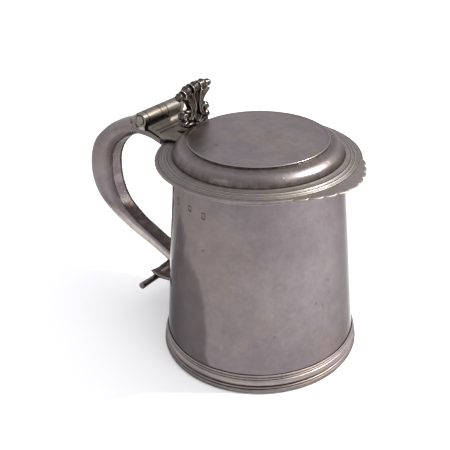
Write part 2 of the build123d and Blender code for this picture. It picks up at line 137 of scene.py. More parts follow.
def smooth(a, b, c, d, t):
    """The point at t, from 0 to 1, between b and c on a smooth curve through a, b, c and d."""
    bend = (2 * a - 5 * b + 4 * c - d) * t * t + (3 * b - a - 3 * c + d) * t**3
    return 0.5 * (2 * b + (c - a) * t + bend)


def spline(knots, step):
    """Points about a step apart on a smooth curve through the knots."""
    ends = [2 * knots[0] - knots[1]] + list(knots) + [2 * knots[-1] - knots[-2]]
    found = [knots[0].copy()]
    for a, b, c, d in zip(ends, ends[1:], ends[2:], ends[3:]):
        count = max(1, round((c - b).length / step))
        found += [smooth(a, b, c, d, i / count) for i in range(1, count + 1)]
    return found


def soften(points, rounds=1, closed=True):
    """Round the corners of an outline a little."""
    for _ in range(rounds):
        last = len(points) - 1
        kept = points
        points = []
        for i, here in enumerate(kept):
            if not closed and i in (0, last):
                points.append(here)
            else:
                points.append(0.5 * here + 0.25 * (kept[i - 1] + kept[(i + 1) % (last + 1)]))
    return points


print("a quarter arc of 1 mm has", len(Pen(1, 0, 0.1).arc((0.7071, 0.7071), (0, 1)).points), "points")

# %% [markdown]
# ## From rings to a closed skin
# Nearly every piece is a row of rings: a turned ring, a swept handle, a bar, a drop. One helper
# stitches the rings with quads, closes the ends or joins the last ring to the first, and makes
# all faces look outward. The meshes stay closed, so that they can be printed as they are.

# %% Skin, lathe and sweep
def mesh_from(name, bm):
    """Make an object of a bmesh whose points are in millimetres."""
    bmesh.ops.recalc_face_normals(bm, faces=bm.faces)
    bm.transform(Matrix.Scale(MM, 4))
    mesh = bpy.data.meshes.new(name)
    bm.to_mesh(mesh)
    bm.free()
    mesh.shade_smooth()
    piece = bpy.data.objects.new(name, mesh)
    bpy.context.scene.collection.objects.link(piece)
    return piece


def skin(bm, rings, wrap=False):
    """Stitch closed rings of points with quads. A ring of one point is a pole."""
    rows = [[bm.verts.new(p) for p in ring] for ring in rings]
    pairs = list(zip(rows, rows[1:]))
    if wrap:
        pairs.append((rows[-1], rows[0]))
    for a, b in pairs:
        for i in range(max(len(a), len(b))):
            j = i + 1
            corners = [a[i % len(a)], a[j % len(a)], b[j % len(b)], b[i % len(b)]]
            bm.faces.new(list(dict.fromkeys(corners)))
    if not wrap:
        for row in (rows[0], rows[-1]):
            if len(row) > 2:
                bm.faces.new(row)
    return rows


def lathe(name, outline, turns=256, on_axis=False, shape=None):
    """Turn an outline of (radius, height) about Z. shape may move each point by its angle."""
    bm = bmesh.new()
    angles = turns if isinstance(turns, list) else [2 * math.pi * i / turns for i in range(turns)]

    def place(point, angle):
        radius, height = shape(point, angle) if shape else point
        return Vector((radius * math.cos(angle), radius * math.sin(angle), height))

    if on_axis:
        rings = [[place(p, a) for a in angles] if p.x > 1e-6 else [place(p, 0)] for p in outline]
        skin(bm, rings)
    else:
        skin(bm, [[place(p, a) for p in outline] for a in angles], wrap=True)
    return mesh_from(name, bm)


def uneven(piece, size, depth, seed):
    """Move the surface in and out, as a hand-worked surface does. size and depth in millimetres."""
    mesh = piece.data
    normals = [v.normal.copy() for v in mesh.vertices]
    for vertex, normal in zip(mesh.vertices, normals):
        place = vertex.co / (size * MM) + Vector((seed, 2 * seed, 3 * seed))
        vertex.co -= normal * depth * MM * (0.5 + 0.5 * noise.noise(place))
    mesh.update()


# %% [markdown]
# ## Relief: where dirt lies and where hands rub
# Tarnish stays in grooves and the metal is rubbed bright on arrises. Each mesh keeps a value per
# vertex called relief: above zero in a hollow and below zero on an edge. It is the curvature
# along the vertex's edges, in 1/mm, spread a little over its neighbours. The materials read it.

# %% The relief attribute
def keep_relief(piece, spread=2):
    """Store each vertex's curvature in the attribute relief."""
    bm = bmesh.new()
    bm.from_mesh(piece.data)
    bm.verts.ensure_lookup_table()
    near = []
    relief = []
    for vertex in bm.verts:
        others = [e.other_vert(vertex) for e in vertex.link_edges]
        near.append([o.index for o in others])
        bends = []
        for other in others:
            edge = other.co - vertex.co
            bends.append(2 * MM * edge.dot(vertex.normal) / max(edge.length_squared, 1e-12))
        bends.sort(key=abs)
        relief.append(sum(bends[len(bends) // 2:]) / max(1, len(bends) - len(bends) // 2))
    for _ in range(spread):
        around = [sum(relief[k] for k in ks) / max(1, len(ks)) for ks in near]
        relief = [0.5 * r + 0.5 * a for r, a in zip(relief, around)]
    bm.free()
    layer = piece.data.attributes.new("relief", "FLOAT", "POINT")
    layer.data.foreach_set("value", relief)
    return min(relief), max(relief)


def settle(piece, body, material, nodes, spread=2, stain_shade_and_sheen=None):
    """Give a finished mesh its relief, its finish and the body that it rides on, and hide its CAD nodes.
    The last argument, if given, tells how dark or light a place is made, by its position in
    millimetres: 1 is black, with tarnish, dark seams or painted shade, 0 is plain and -1 is the light
    rub colour, used as painted light."""
    low, high = keep_relief(piece, spread)
    if stain_shade_and_sheen:
        layer = piece.data.attributes.new("stain_shade_and_sheen", "FLOAT", "POINT")
        layer.data.foreach_set("value", [stain_shade_and_sheen(v.co / MM) for v in piece.data.vertices])
    piece.data.materials.append(material)
    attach(piece, body)
    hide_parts(*nodes)
    print(f"{piece.name}: {len(piece.data.polygons)} faces, relief {low:.2f} to {high:.2f} per mm")


# %% [markdown]
# ## Finishes as node groups
# The whole tankard is one metal, but it looks different on the drum, in the mouldings and on the
# casting. So each effect is a node group with named values, and every material places it with
# values of its own. The first group mixes the cloudy patina: three tints that drift into each
# other over centimetres, and small dark specks.

# %% A helper for node trees
def new_group(name, inputs, outputs):
    """An empty node group with its sockets. Inputs are (name, type, default)."""
    tree = bpy.data.node_groups.new(name, "ShaderNodeTree")
    for label, kind, default in inputs:
        socket = tree.interface.new_socket(label, in_out="INPUT", socket_type="NodeSocket" + kind)
        if default is not None:
            socket.default_value = default
    for label, kind in outputs:
        tree.interface.new_socket(label, in_out="OUTPUT", socket_type="NodeSocket" + kind)
    return tree, tree.nodes.new("NodeGroupInput"), tree.nodes.new("NodeGroupOutput")


def put(tree, kind, links=None, **settings):
    """Add a node, set its properties and sockets, and link the sockets named in links."""
    node = tree.nodes.new("ShaderNode" + kind)
    for key, value in settings.items():
        setattr(node, key, value)
    for socket, source in (links or {}).items():
        place = node.inputs[socket]
        if isinstance(source, bpy.types.NodeSocket):
            tree.links.new(source, place)
        else:
            place.default_value = source
    return node


def sum_of(tree, operation, a, b=None, c=None, clamp=False):
    """One Math node, and its result."""
    given = {i: x for i, x in enumerate((a, b, c)) if x is not None}
    return put(tree, "Math", given, operation=operation, use_clamp=clamp).outputs[0]


def blend_of(tree, factor, a, b, kind="MIX"):
    """Mix two colours."""
    node = put(tree, "Mix", {0: factor, 6: a, 7: b}, data_type="RGBA", blend_type=kind)
    return node.outputs[2]


def noise_of(tree, place, scale, detail, roughness=0.5, distortion=0.0):
    """The value of a noise texture."""
    links = {"Vector": place, "Scale": scale, "Detail": detail}
    links.update({"Roughness": roughness, "Distortion": distortion})
    return put(tree, "TexNoise", links).outputs[0]


def range_of(tree, value, span, to):
    """Stretch the span (low, high) of a value to another one."""
    links = {"Value": value, "From Min": span[0], "From Max": span[1], "To Min": to[0], "To Max": to[1]}
    return put(tree, "MapRange", links).outputs["Result"]


def ramp_of(tree, value, low, high):
    """0 below low, 1 above high and smooth between them."""
    links = {"Value": value, "From Min": low, "From Max": high}
    return put(tree, "MapRange", links, interpolation_type="SMOOTHSTEP").outputs["Result"]


# %% Group: cloudy patina
def make_patina():
    inputs = [
        ("Vector", "Vector", None),
        ("Grey", "Color", (0.20, 0.18, 0.18, 1)),
        ("Mauve", "Color", (0.18, 0.15, 0.17, 1)),
        ("Brown", "Color", (0.21, 0.17, 0.15, 1)),
        ("Cloud size", "Float", 40.0),
        ("Mottle size", "Float", 9.0),
        ("Mottle", "Float", 0.06),
        ("Specks", "Float", 0.5),
    ]
    tree, given, result = new_group("cloudy_patina", inputs, [("Colour", "Color"), ("Cloud", "Float")])
    place, size = given.outputs["Vector"], given.outputs["Cloud size"]
    frequency = sum_of(tree, "DIVIDE", 1000.0, size)
    cloud = noise_of(tree, place, frequency, 5.0, 0.55)
    shifted = put(tree, "VectorMath", {0: place, 1: (0.31, 0.17, 0.53)}, operation="ADD").outputs[0]
    wider = sum_of(tree, "MULTIPLY", frequency, 0.62)
    mauve_share = ramp_of(tree, cloud, 0.36, 0.64)
    brown_share = ramp_of(tree, noise_of(tree, shifted, wider, 4.0, 0.6, 0.4), 0.46, 0.70)
    colour = blend_of(tree, mauve_share, given.outputs["Grey"], given.outputs["Mauve"])
    colour = blend_of(tree, brown_share, colour, given.outputs["Brown"])
    patch_scale = sum_of(tree, "DIVIDE", 1000.0, given.outputs["Mottle size"])
    patches = noise_of(tree, shifted, patch_scale, 6.0, 0.7, 0.3)
    centred = sum_of(tree, "SUBTRACT", patches, 0.5)
    swing = sum_of(tree, "MULTIPLY", centred, given.outputs["Mottle"])
    level = sum_of(tree, "MULTIPLY_ADD", swing, 10.0, 1.0)
    colour = blend_of(tree, 1.0, colour, level, "MULTIPLY")
    grain = range_of(tree, noise_of(tree, place, 420.0, 3.0, 0.7), (0.3, 0.7), (0.94, 1.06))
    colour = blend_of(tree, 1.0, colour, grain, "MULTIPLY")
    spots = ramp_of(tree, noise_of(tree, shifted, 150.0, 2.0), 0.70, 0.80)
    speck = sum_of(tree, "MULTIPLY", spots, given.outputs["Specks"])
    colour = blend_of(tree, speck, colour, (0.05, 0.04, 0.035, 1))
    tree.links.new(colour, result.inputs["Colour"])
    tree.links.new(cloud, result.inputs["Cloud"])
    return tree


PATINA = make_patina()
print("patina group:", len(PATINA.nodes), "nodes")

# %% [markdown]
# The second group reads the relief of the mesh. It gives one mask for tarnish in the hollows and
# one for the rubbed edges, and breaks both up with noise, because neither dirt nor rubbing ever
# makes an even line. Ambient occlusion paints shade into the corners where two pieces meet. The
# per-vertex value that a piece may carry adds dark seams, tarnish and painted shade to the first
# mask, and painted highlights to the second.

# %% Group: tarnish and painted shade, rubbed edges and painted highlights
def make_wear_and_shade():
    inputs = [
        ("Vector", "Vector", None),
        ("Hollow from", "Float", 0.15),
        ("Hollow to", "Float", 1.2),
        ("Edge from", "Float", 0.3),
        ("Edge to", "Float", 2.0),
        ("Corner reach", "Float", 0.004),
        ("Corner strength", "Float", 0.7),
        ("Break-up", "Float", 0.5),
    ]
    tree, given, result = new_group("tarnish_shade_rub_and_sheen", inputs, [("Tarnish and shade", "Float"), ("Rub and sheen", "Float")])
    relief = put(tree, "Attribute", attribute_name="relief").outputs["Fac"]
    patchy = ramp_of(tree, noise_of(tree, given.outputs["Vector"], 260.0, 4.0, 0.6), 0.30, 0.62)
    whole = sum_of(tree, "SUBTRACT", 1.0, given.outputs["Break-up"])
    keep = sum_of(tree, "MULTIPLY_ADD", patchy, given.outputs["Break-up"], whole)
    hollow = ramp_of(tree, relief, given.outputs["Hollow from"], given.outputs["Hollow to"])
    raised = sum_of(tree, "MULTIPLY", relief, -1.0)
    edge = ramp_of(tree, raised, given.outputs["Edge from"], given.outputs["Edge to"])
    # Painted shade: ambient occlusion darkens the colour in corners and between pieces.
    open_sky = put(tree, "AmbientOcclusion", {"Distance": given.outputs["Corner reach"]}, samples=6)
    corner = ramp_of(tree, sum_of(tree, "SUBTRACT", 1.0, open_sky.outputs["AO"]), 0.25, 0.85)
    corner = sum_of(tree, "MULTIPLY", corner, given.outputs["Corner strength"])
    dark = sum_of(tree, "MAXIMUM", sum_of(tree, "MULTIPLY", hollow, keep), corner, clamp=True)
    blotch = range_of(tree, patchy, (0.0, 1.0), (0.8, 1.15))
    # The per-vertex value: dark seams, tarnish and painted shade where it is above zero.
    stain_shade_and_sheen = sum_of(tree, "MULTIPLY", put(tree, "Attribute", attribute_name="stain_shade_and_sheen").outputs["Fac"], blotch)
    dark = sum_of(tree, "MAXIMUM", dark, stain_shade_and_sheen, clamp=True)
    tree.links.new(dark, result.inputs["Tarnish and shade"])
    # Its negative part is painted light, a painted highlight in the light rub colour.
    painted_sheen = sum_of(tree, "MULTIPLY", stain_shade_and_sheen, -1.0)
    rub_and_sheen = sum_of(tree, "MAXIMUM", sum_of(tree, "MULTIPLY", edge, keep), painted_sheen, clamp=True)
    tree.links.new(rub_and_sheen, result.inputs["Rub and sheen"])
    return tree


WEAR_AND_SHADE = make_wear_and_shade()
print("wear group:", len(WEAR_AND_SHADE.nodes), "nodes")

# %% [markdown]
# The third group is the record of handling: short straight scratches in many directions and a
# fine tooth all over. It gives a height for a Bump node and a mask that dulls the gloss.

# %% Group: hand scratches
def make_scratches():
    inputs = [
        ("Vector", "Vector", None),
        ("Scratch size", "Float", 6.0),
        ("Tooth size", "Float", 0.5),
        ("Amount", "Float", 0.5),
    ]
    tree, given, result = new_group("hand_scratches", inputs, [("Height", "Float"), ("Dull", "Float")])
    total = None
    for turn, stretch in (((0.3, 0.2, 0.4), 22.0), ((1.1, 0.5, 2.1), 16.0), ((2.0, 1.3, 0.9), 27.0)):
        facing = {"Vector": given.outputs["Vector"], "Rotation": turn}
        turned = put(tree, "VectorRotate", facing, rotation_type="EULER_XYZ")
        pull = {0: turned.outputs[0], 1: (1.0, stretch, stretch)}
        drawn = put(tree, "VectorMath", pull, operation="MULTIPLY")
        scale = sum_of(tree, "DIVIDE", 1000.0 / 4, given.outputs["Scratch size"])
        line = ramp_of(tree, noise_of(tree, drawn.outputs[0], scale, 3.0, 0.65), 0.62, 0.72)
        total = line if total is None else sum_of(tree, "MAXIMUM", total, line)
    tooth_scale = sum_of(tree, "DIVIDE", 1000.0, given.outputs["Tooth size"])
    tooth = noise_of(tree, given.outputs["Vector"], tooth_scale, 2.0)
    scratch = sum_of(tree, "MULTIPLY", total, given.outputs["Amount"])
    height = sum_of(tree, "SUBTRACT", sum_of(tree, "MULTIPLY", tooth, 0.35), scratch)
    tree.links.new(height, result.inputs["Height"])
    tree.links.new(scratch, result.inputs["Dull"])
    return tree


SCRATCHES = make_scratches()
print("scratches group:", len(SCRATCHES.nodes), "nodes")

# %% [markdown]
# The fourth group sets three small struck marks below the lip. They are plain: a sunk rectangle
# with a dark edge and an uneven ground, and no sign in it.

# %% Group: plain punch marks
PUNCHES = ((-116.5, 110.4, 3.2, 4.6), (-102.5, 110.9, 3.0, 3.4), (-90.5, 109.9, 2.6, 4.2))


def make_punches():
    tree, given, result = new_group("plain_punches", [("Vector", "Vector", None)], [("Mark", "Float")])
    to_mm = {0: given.outputs[0], 1: (1000.0, 1000.0, 1000.0)}
    place = put(tree, "VectorMath", to_mm, operation="MULTIPLY").outputs[0]
    blots = ramp_of(tree, noise_of(tree, given.outputs[0], 900.0, 2.0), 0.50, 0.60)
    total = None
    for turn, height, wide, tall in PUNCHES:
        a = math.radians(turn)
        radius = drum_radius(height)
        centre = (radius * math.cos(a), radius * math.sin(a), height)
        local = put(tree, "VectorMath", {0: place, 1: centre}, operation="SUBTRACT").outputs[0]
        sideways = (-math.sin(a), math.cos(a), 0.0)
        across = put(tree, "VectorMath", {0: local, 1: sideways}, operation="DOT_PRODUCT")
        up = put(tree, "SeparateXYZ", {"Vector": local}).outputs["Z"]
        side = sum_of(tree, "DIVIDE", sum_of(tree, "ABSOLUTE", across.outputs["Value"]), wide / 2)
        rise = sum_of(tree, "DIVIDE", sum_of(tree, "ABSOLUTE", up), tall / 2)
        outward = (math.cos(a), math.sin(a), 0.0)
        out = put(tree, "VectorMath", {0: local, 1: outward}, operation="DOT_PRODUCT")
        near = ramp_of(tree, out.outputs["Value"], -3.0, -1.0)
        reach = sum_of(tree, "MAXIMUM", side, rise)
        inside = sum_of(tree, "SUBTRACT", 1.0, ramp_of(tree, reach, 0.92, 1.02))
        border = ramp_of(tree, reach, 0.60, 0.80)
        filled = sum_of(tree, "MAXIMUM", border, sum_of(tree, "MULTIPLY", blots, 0.8))
        mark = sum_of(tree, "MULTIPLY", sum_of(tree, "MULTIPLY", inside, filled), near)
        total = mark if total is None else sum_of(tree, "MAXIMUM", total, mark)
    tree.links.new(total, result.inputs["Mark"])
    return tree


PUNCH_MARKS = make_punches()
print("punch group:", len(PUNCH_MARKS.nodes), "nodes")

# %% [markdown]
# ## One recipe, eight finishes
# The material itself stays simple: a metal shader, whose colour comes from the patina, darkened
# by tarnish and painted shade and lightened by rubbing and painted highlights, and whose roughness
# rises where it is dull or dirty.

# %% The metal
# The dark colour of tarnish, also used for painted shade.
TARNISH_AND_SHADE = (0.030, 0.022, 0.016, 1)


def metal(name, patina, wear_and_shade, scratches, rub_and_sheen_colour, roughness, bump=0.05, rim=0.6, punched=False):
    """A worn metal. patina, wear and scratches hold the values for the three groups.
    rim is the tint at a grazing angle, and punched adds the plain punch marks."""
    material = bpy.data.materials.new(name)
    material.use_nodes = True
    tree = material.node_tree
    tree.nodes.clear()
    place = put(tree, "TexCoord").outputs["Object"]

    def group(made, values):
        node = put(tree, "Group", node_tree=made)
        tree.links.new(place, node.inputs["Vector"])
        for key, value in values.items():
            node.inputs[key].default_value = value
        return node.outputs

    patina_out = group(PATINA, patina)
    wear_and_shade_out = group(WEAR_AND_SHADE, wear_and_shade)
    scratch_out = group(SCRATCHES, scratches)
    # Rubbed edges and painted highlights take the light rub colour.
    colour = blend_of(tree, wear_and_shade_out["Rub and sheen"], patina_out["Colour"], rub_and_sheen_colour)
    dark = wear_and_shade_out["Tarnish and shade"]
    height = scratch_out["Height"]
    if punched:
        mark = group(PUNCH_MARKS, {})["Mark"]
        dark = sum_of(tree, "MAXIMUM", dark, sum_of(tree, "MULTIPLY", mark, 0.95))
        height = sum_of(tree, "MULTIPLY_ADD", mark, -2.0, height)
    # Tarnish and painted shade darken the colour.
    colour = blend_of(tree, dark, colour, TARNISH_AND_SHADE)
    gloss = range_of(tree, patina_out["Cloud"], (0.3, 0.7), roughness)
    rough = sum_of(tree, "MULTIPLY_ADD", dark, 0.14, gloss)
    rough = sum_of(tree, "MULTIPLY_ADD", scratch_out["Dull"], 0.10, rough)
    rough = sum_of(tree, "MULTIPLY_ADD", wear_and_shade_out["Rub and sheen"], -0.08, rough, clamp=True)
    relief = put(tree, "Bump", {"Height": height, "Strength": 1.0, "Distance": bump * MM})
    surface = {"Base Color": colour, "Roughness": rough, "Normal": relief.outputs[0]}
    shader = put(tree, "BsdfPrincipled", surface)
    shader.inputs["Metallic"].default_value = 1.0
    shader.inputs["Specular Tint"].default_value = (rim, rim, rim, 1)
    output = put(tree, "OutputMaterial")
    tree.links.new(shader.outputs[0], output.inputs["Surface"])
    return material


drum_metal = metal(
    "old_grey_sheet",
    {
        "Grey": (0.135, 0.118, 0.122, 1), "Mauve": (0.115, 0.098, 0.103, 1),
        "Brown": (0.142, 0.116, 0.109, 1), "Cloud size": 42.0, "Mottle size": 9.0, "Mottle": 0.055,
        "Specks": 0.6,
    },
    {"Corner strength": 0.55},
    {"Scratch size": 9.0, "Amount": 0.35},
    # This light colour is also painted inside the drum as painted light.
    rub_and_sheen_colour=(0.328, 0.304, 0.281, 1),
    roughness=(0.03, 0.07),
    bump=0.03,
    rim=0.5,
    punched=True,
)
foot_metal = metal(
    "old_grey_moulding",
    {
        "Grey": (0.222, 0.194, 0.188, 1), "Mauve": (0.188, 0.161, 0.165, 1),
        "Brown": (0.208, 0.175, 0.156, 1), "Cloud size": 25.0,
    },
    {
        "Hollow from": 0.4, "Hollow to": 1.6, "Edge from": 1.6, "Edge to": 6.0, "Corner strength": 0.6,
        "Break-up": 0.15,
    },
    {"Scratch size": 5.0, "Amount": 0.4},
    rub_and_sheen_colour=(0.280, 0.258, 0.236, 1),
    roughness=(0.36, 0.46),
)
lid_metal = metal(
    "old_grey_lid",
    {
        "Grey": (0.189, 0.165, 0.168, 1), "Mauve": (0.163, 0.138, 0.149, 1),
        "Brown": (0.185, 0.154, 0.142, 1), "Cloud size": 30.0, "Specks": 0.7,
    },
    {
        "Hollow from": 0.20, "Hollow to": 1.1, "Edge from": 0.8, "Edge to": 4.0, "Corner reach": 0.006,
        "Corner strength": 0.75, "Break-up": 0.3,
    },
    {"Scratch size": 7.0, "Amount": 0.6},
    rub_and_sheen_colour=(0.390, 0.359, 0.328, 1),
    roughness=(0.28, 0.37),
)
flange_metal = metal(
    "old_grey_flange",
    {
        "Grey": (0.178, 0.160, 0.154, 1), "Mauve": (0.160, 0.142, 0.140, 1),
        "Brown": (0.166, 0.140, 0.120, 1), "Cloud size": 18.0, "Specks": 0.7,
    },
    {
        "Hollow from": 0.08, "Hollow to": 0.8, "Edge from": 1.2, "Edge to": 5.0, "Corner reach": 0.003,
        "Corner strength": 0.75, "Break-up": 0.2,
    },
    {"Scratch size": 6.0, "Amount": 0.5},
    rub_and_sheen_colour=(0.280, 0.260, 0.240, 1),
    roughness=(0.44, 0.54),
)
# Its light rub colour also paints the highlight on the lower flank of the handle.
handle_metal = metal(
    "old_grey_handle",
    {
        "Grey": (0.170, 0.146, 0.150, 1), "Mauve": (0.146, 0.120, 0.135, 1),
        "Brown": (0.158, 0.126, 0.114, 1), "Cloud size": 22.0,
    },
    {"Edge from": 3.0, "Edge to": 8.0, "Corner reach": 0.006, "Corner strength": 0.7, "Break-up": 0.3},
    {"Scratch size": 5.0, "Amount": 0.4},
    rub_and_sheen_colour=(0.560, 0.520, 0.460, 1),
    roughness=(0.20, 0.32),
)
hinge_metal = metal(
    "rubbed_hinge",
    {
        "Grey": (0.165, 0.150, 0.131, 1), "Mauve": (0.140, 0.124, 0.113, 1),
        "Brown": (0.140, 0.113, 0.088, 1), "Cloud size": 12.0,
    },
    {
        "Hollow to": 0.9, "Edge from": 3.0, "Edge to": 9.0, "Corner strength": 0.9,
        "Corner reach": 0.003, "Break-up": 0.3,
    },
    {"Scratch size": 3.0, "Amount": 0.5},
    rub_and_sheen_colour=(0.300, 0.276, 0.242, 1),
    roughness=(0.32, 0.44),
)
cast_scroll = metal(
    "cast_scroll",
    {
        "Grey": (0.063, 0.057, 0.050, 1), "Mauve": (0.050, 0.043, 0.039, 1),
        "Brown": (0.039, 0.031, 0.025, 1), "Cloud size": 8.0, "Specks": 0.8,
    },
    {
        "Hollow from": 0.0, "Hollow to": 0.45, "Edge from": 0.9, "Edge to": 2.6,
        "Corner strength": 1.0, "Corner reach": 0.006, "Break-up": 0.2,
    },
    {"Scratch size": 2.5, "Amount": 0.4},
    rub_and_sheen_colour=(0.390, 0.359, 0.320, 1),
    roughness=(0.22, 0.36),
)
solder = metal(
    "brown_solder",
    {
        "Grey": (0.104, 0.086, 0.071, 1), "Mauve": (0.084, 0.064, 0.051, 1),
        "Brown": (0.118, 0.091, 0.062, 1), "Cloud size": 5.0, "Specks": 0.9,
    },
    {"Corner strength": 0.9, "Corner reach": 0.003},
    {"Scratch size": 2.5, "Amount": 0.4},
    rub_and_sheen_colour=(0.351, 0.296, 0.234, 1),
    roughness=(0.30, 0.45),
    bump=0.2,
)
print("finishes:", sorted(m.name for m in bpy.data.materials))

# %% [markdown]
# ## The drum
# The drum was rolled from sheet, soldered and turned true, so it is a plain taper. But a hammer
# and a planishing stake have been over it: its reflections wander a little. A closed wall is
# turned from its outline, and then moved in by up to a third of a millimetre with broad noise.

# %% Turn the drum
def make_drum():
    top, bottom = LIP_Z, FLOOR_Z
    outline = Pen(drum_radius(bottom) - WALL, bottom, 1.4)
    outline.line((drum_radius(bottom), bottom), (drum_radius(top), top))
    outline.line((drum_radius(top) - 0.6, top))
    outline.arc((drum_radius(top) - WALL + 0.2, top - 0.2), (drum_radius(top) - WALL, top - 0.7))
    outline.line((drum_radius(bottom) - WALL, bottom))
    piece = lathe("drum_wall", outline.points[:-1], turns=288)
    uneven(piece, size=30.0, depth=0.22, seed=3.0)
    uneven(piece, size=11.0, depth=0.13, seed=9.0)

    # Painted light: the inside of the drum, shaded by its own wall, is lightened towards the light rub
    # colour.
    def painted_light_inside(place):
        return -0.7 if math.hypot(place.x, place.y) < drum_radius(place.z) - 0.9 else 0.0

    settle(piece, "tankard", drum_metal, ["drum"], stain_shade_and_sheen=painted_light_inside)


make_drum()


# %% The bottom plate, let into the drum
def make_bottom():
    edge, floor, thick, rise = drum_radius(FLOOR_Z) - WALL, FLOOR_Z, 2.4, 2.4
    outline = Pen(0, floor + rise, 2.0).curve((edge / 2, floor + 1.7), (edge - 3.0, floor + 0.02))
    outline.line((edge - 0.05, floor), (edge - 0.2, floor + thick), (edge - 3.0, floor + thick + 0.02))
    outline.curve((edge / 2, floor + 1.7 + thick), (0, floor + rise + thick))
    piece = lathe("bottom_disc", outline.points, turns=144, on_axis=True)
    uneven(piece, size=18.0, depth=0.1, seed=5.0)
    settle(piece, "tankard", drum_metal, ["bottom_plate"])


make_bottom()

# %% [markdown]
# ## Foot and lip mouldings
# Both were turned separately and soldered on. The foot has a rounded toe, a groove and fillet, a
# broad ovolo and two fine reeds. The lip has four reeds, each a little prouder than the last.

# %% Turn the mouldings
def make_foot():
    r, z0 = FOOT_R, FLOOR_Z
    outline = Pen(r - 4.8, 0.0, 0.14).line((r - 1.6, 0.0)).arc((r - 0.55, 0.5), (r - 0.02, 1.9))
    outline.arc((r - 0.1, 2.7), (r - 0.5, 3.3)).line((r - 1.5, 3.55), (r - 1.5, 3.75))
    outline.arc((r - 0.8, 4.1), (r - 1.1, 4.6)).line((r - 1.85, 4.85), (r - 1.85, 5.05))
    outline.arc((r - 0.8, 7.1), (r - 1.75, 9.2)).line((r - 2.3, 9.45)).arc((r - 1.8, 10.1), (r - 2.1, 10.7))
    outline.line((r - 2.75, 10.9), (r - 2.75, 11.1)).arc((r - 1.95, 11.7), (r - 2.35, 12.4))
    outline.line((drum_radius(12.8) + 0.02, 12.7), (drum_radius(12.9) + 0.02, 12.9))
    outline.line((drum_radius(z0), z0 + 0.1), (drum_radius(z0) - WALL, z0), (r - 4.8, 0.0))
    piece = lathe("foot_ring", soften(outline.points[:-1], 1), turns=320)

    # Dark lines at the fine grooves and at the joint with the drum, and a darker toe towards the bottom.
    def low_down(place):
        if 10.7 < place.z < 11.3 or place.z > 12.45 or 9.3 < place.z < 9.6:
            return 0.8
        return 0.38 if place.z < 3.4 else 0.0

    uneven(piece, size=26.0, depth=0.12, seed=7.0)
    settle(piece, "tankard", foot_metal, ["foot_moulding"], spread=1, stain_shade_and_sheen=low_down)


def make_lip():
    crests = (0.45, 0.75, 0.95, 1.35)
    height = LIP_Z - box_mm("lip_band")[0].z
    low, reed = LIP_Z - height, height / len(crests)
    outline = Pen(drum_radius(low), low, 0.15)
    for index, crest in enumerate(crests):
        z = low + (index + 1) * reed
        middle = z - reed / 2
        end = (drum_radius(z) + 0.06 + 0.12 * index, z - 0.01)
        outline.arc((drum_radius(middle) + crest, middle), end)
    outline.line((drum_radius(LIP_Z), LIP_Z - 0.01), (drum_radius(low), low))
    piece = lathe("lip_reeds", outline.points[:-1], turns=288)
    settle(piece, "tankard", foot_metal, ["lip_band"], spread=1)


make_foot()
make_lip()

# %% [markdown]
# ## The lid
# A flat plate with a slightly raised edge sits on a broad convex band, with a shallow quirk below
# the edge. The band drops on to the flange, which has fine beads, narrow fillets between them and a
# smooth brim. The whole cap is one turned sheet, hollow below. The band carries painted shade and
# painted reflection mixed with grime, so it is darker than the plate under the edge and at its foot.

# %% Turn the cap
def by_radius(*stops):
    """A darkening value that depends on the distance from the axis. stops are (radius, amount) pairs."""

    def amount(place):
        radius = math.hypot(place.x, place.y)
        for (a, low), (b, high) in zip(stops, stops[1:]):
            if a <= radius <= b:
                return low + (high - low) * (radius - a) / (b - a)
        return stops[0][1] if radius < stops[0][0] else stops[-1][1]

    return amount


def make_cap():
    r, z, foot, thick = PLATE_R, PLATE_Z, FLANGE_Z + 0.6, 1.6
    outline = Pen(0, z - 0.22, 0.9).line((r - 3.2, z - 0.22))
    outline.step = 0.16
    outline.line((r - 1.6, z - 0.20)).arc((r - 1.1, z - 0.05), (r - 0.75, z - 0.02))
    outline.arc((r - 0.1, z - 0.4), (r - 0.3, z - 0.9)).arc((r - 0.5, z - 1.25), (r - 0.1, z - 1.6))
    band = ((r + 1.4, z - 2.1), (r + 4.2, z - 3.1), (r + 6.7, z - 4.9), (r + 7.9, z - 6.6))
    outline.curve(*band, (CAP_R - 0.02, z - 8.5))
    outline.step = 0.5
    outline.line((CAP_R - 0.02, foot), (CAP_R - thick, foot), (CAP_R - thick, z - 8.0))
    outline.curve((r + 5.9, z - 6.3), (r + 3.4, z - 5.1), (r - 0.6, z - 4.4))
    outline.line((r - 2.6, z - 0.5 - thick)).line((0, z - 0.5 - thick))
    piece = lathe("cap", soften(outline.points, 1, closed=False), turns=288, on_axis=True)
    uneven(piece, size=24.0, depth=0.12, seed=11.0)
    # Painted shade and painted reflection, mixed with grime: darker in the quirk under the edge and at the
    # foot of the band.
    shade_and_grime = by_radius(
        (r - 0.9, 0.0), (r + 0.2, 0.50), (r + 2.2, 0.40),
        (r + 4.8, 0.18), (r + 6.6, 0.45), (CAP_R, 0.75),
    )
    settle(piece, "lid", lid_metal, ["lid_cap"], spread=1, stain_shade_and_sheen=shade_and_grime)


make_cap()

# %% [markdown]
# ## The flange and its serrated peak
# Opposite the handle the brim grows into a thin peak, filed into rounded teeth with pointed
# notches between them. The flange is turned like the rest, but the outermost points are pulled
# out by an amount that depends on the angle, and the angles lie closer together at the peak.

# %% Turn the flange
PEAK_TURN = -4.0
TOOTH = 7.2
NOTCHES = (61.7, 63.7, 65.2, 66.7, 66.7, 65.2, 63.7, 61.7)
BRIM_R = 60.7
PEAK_THICK = 1.24


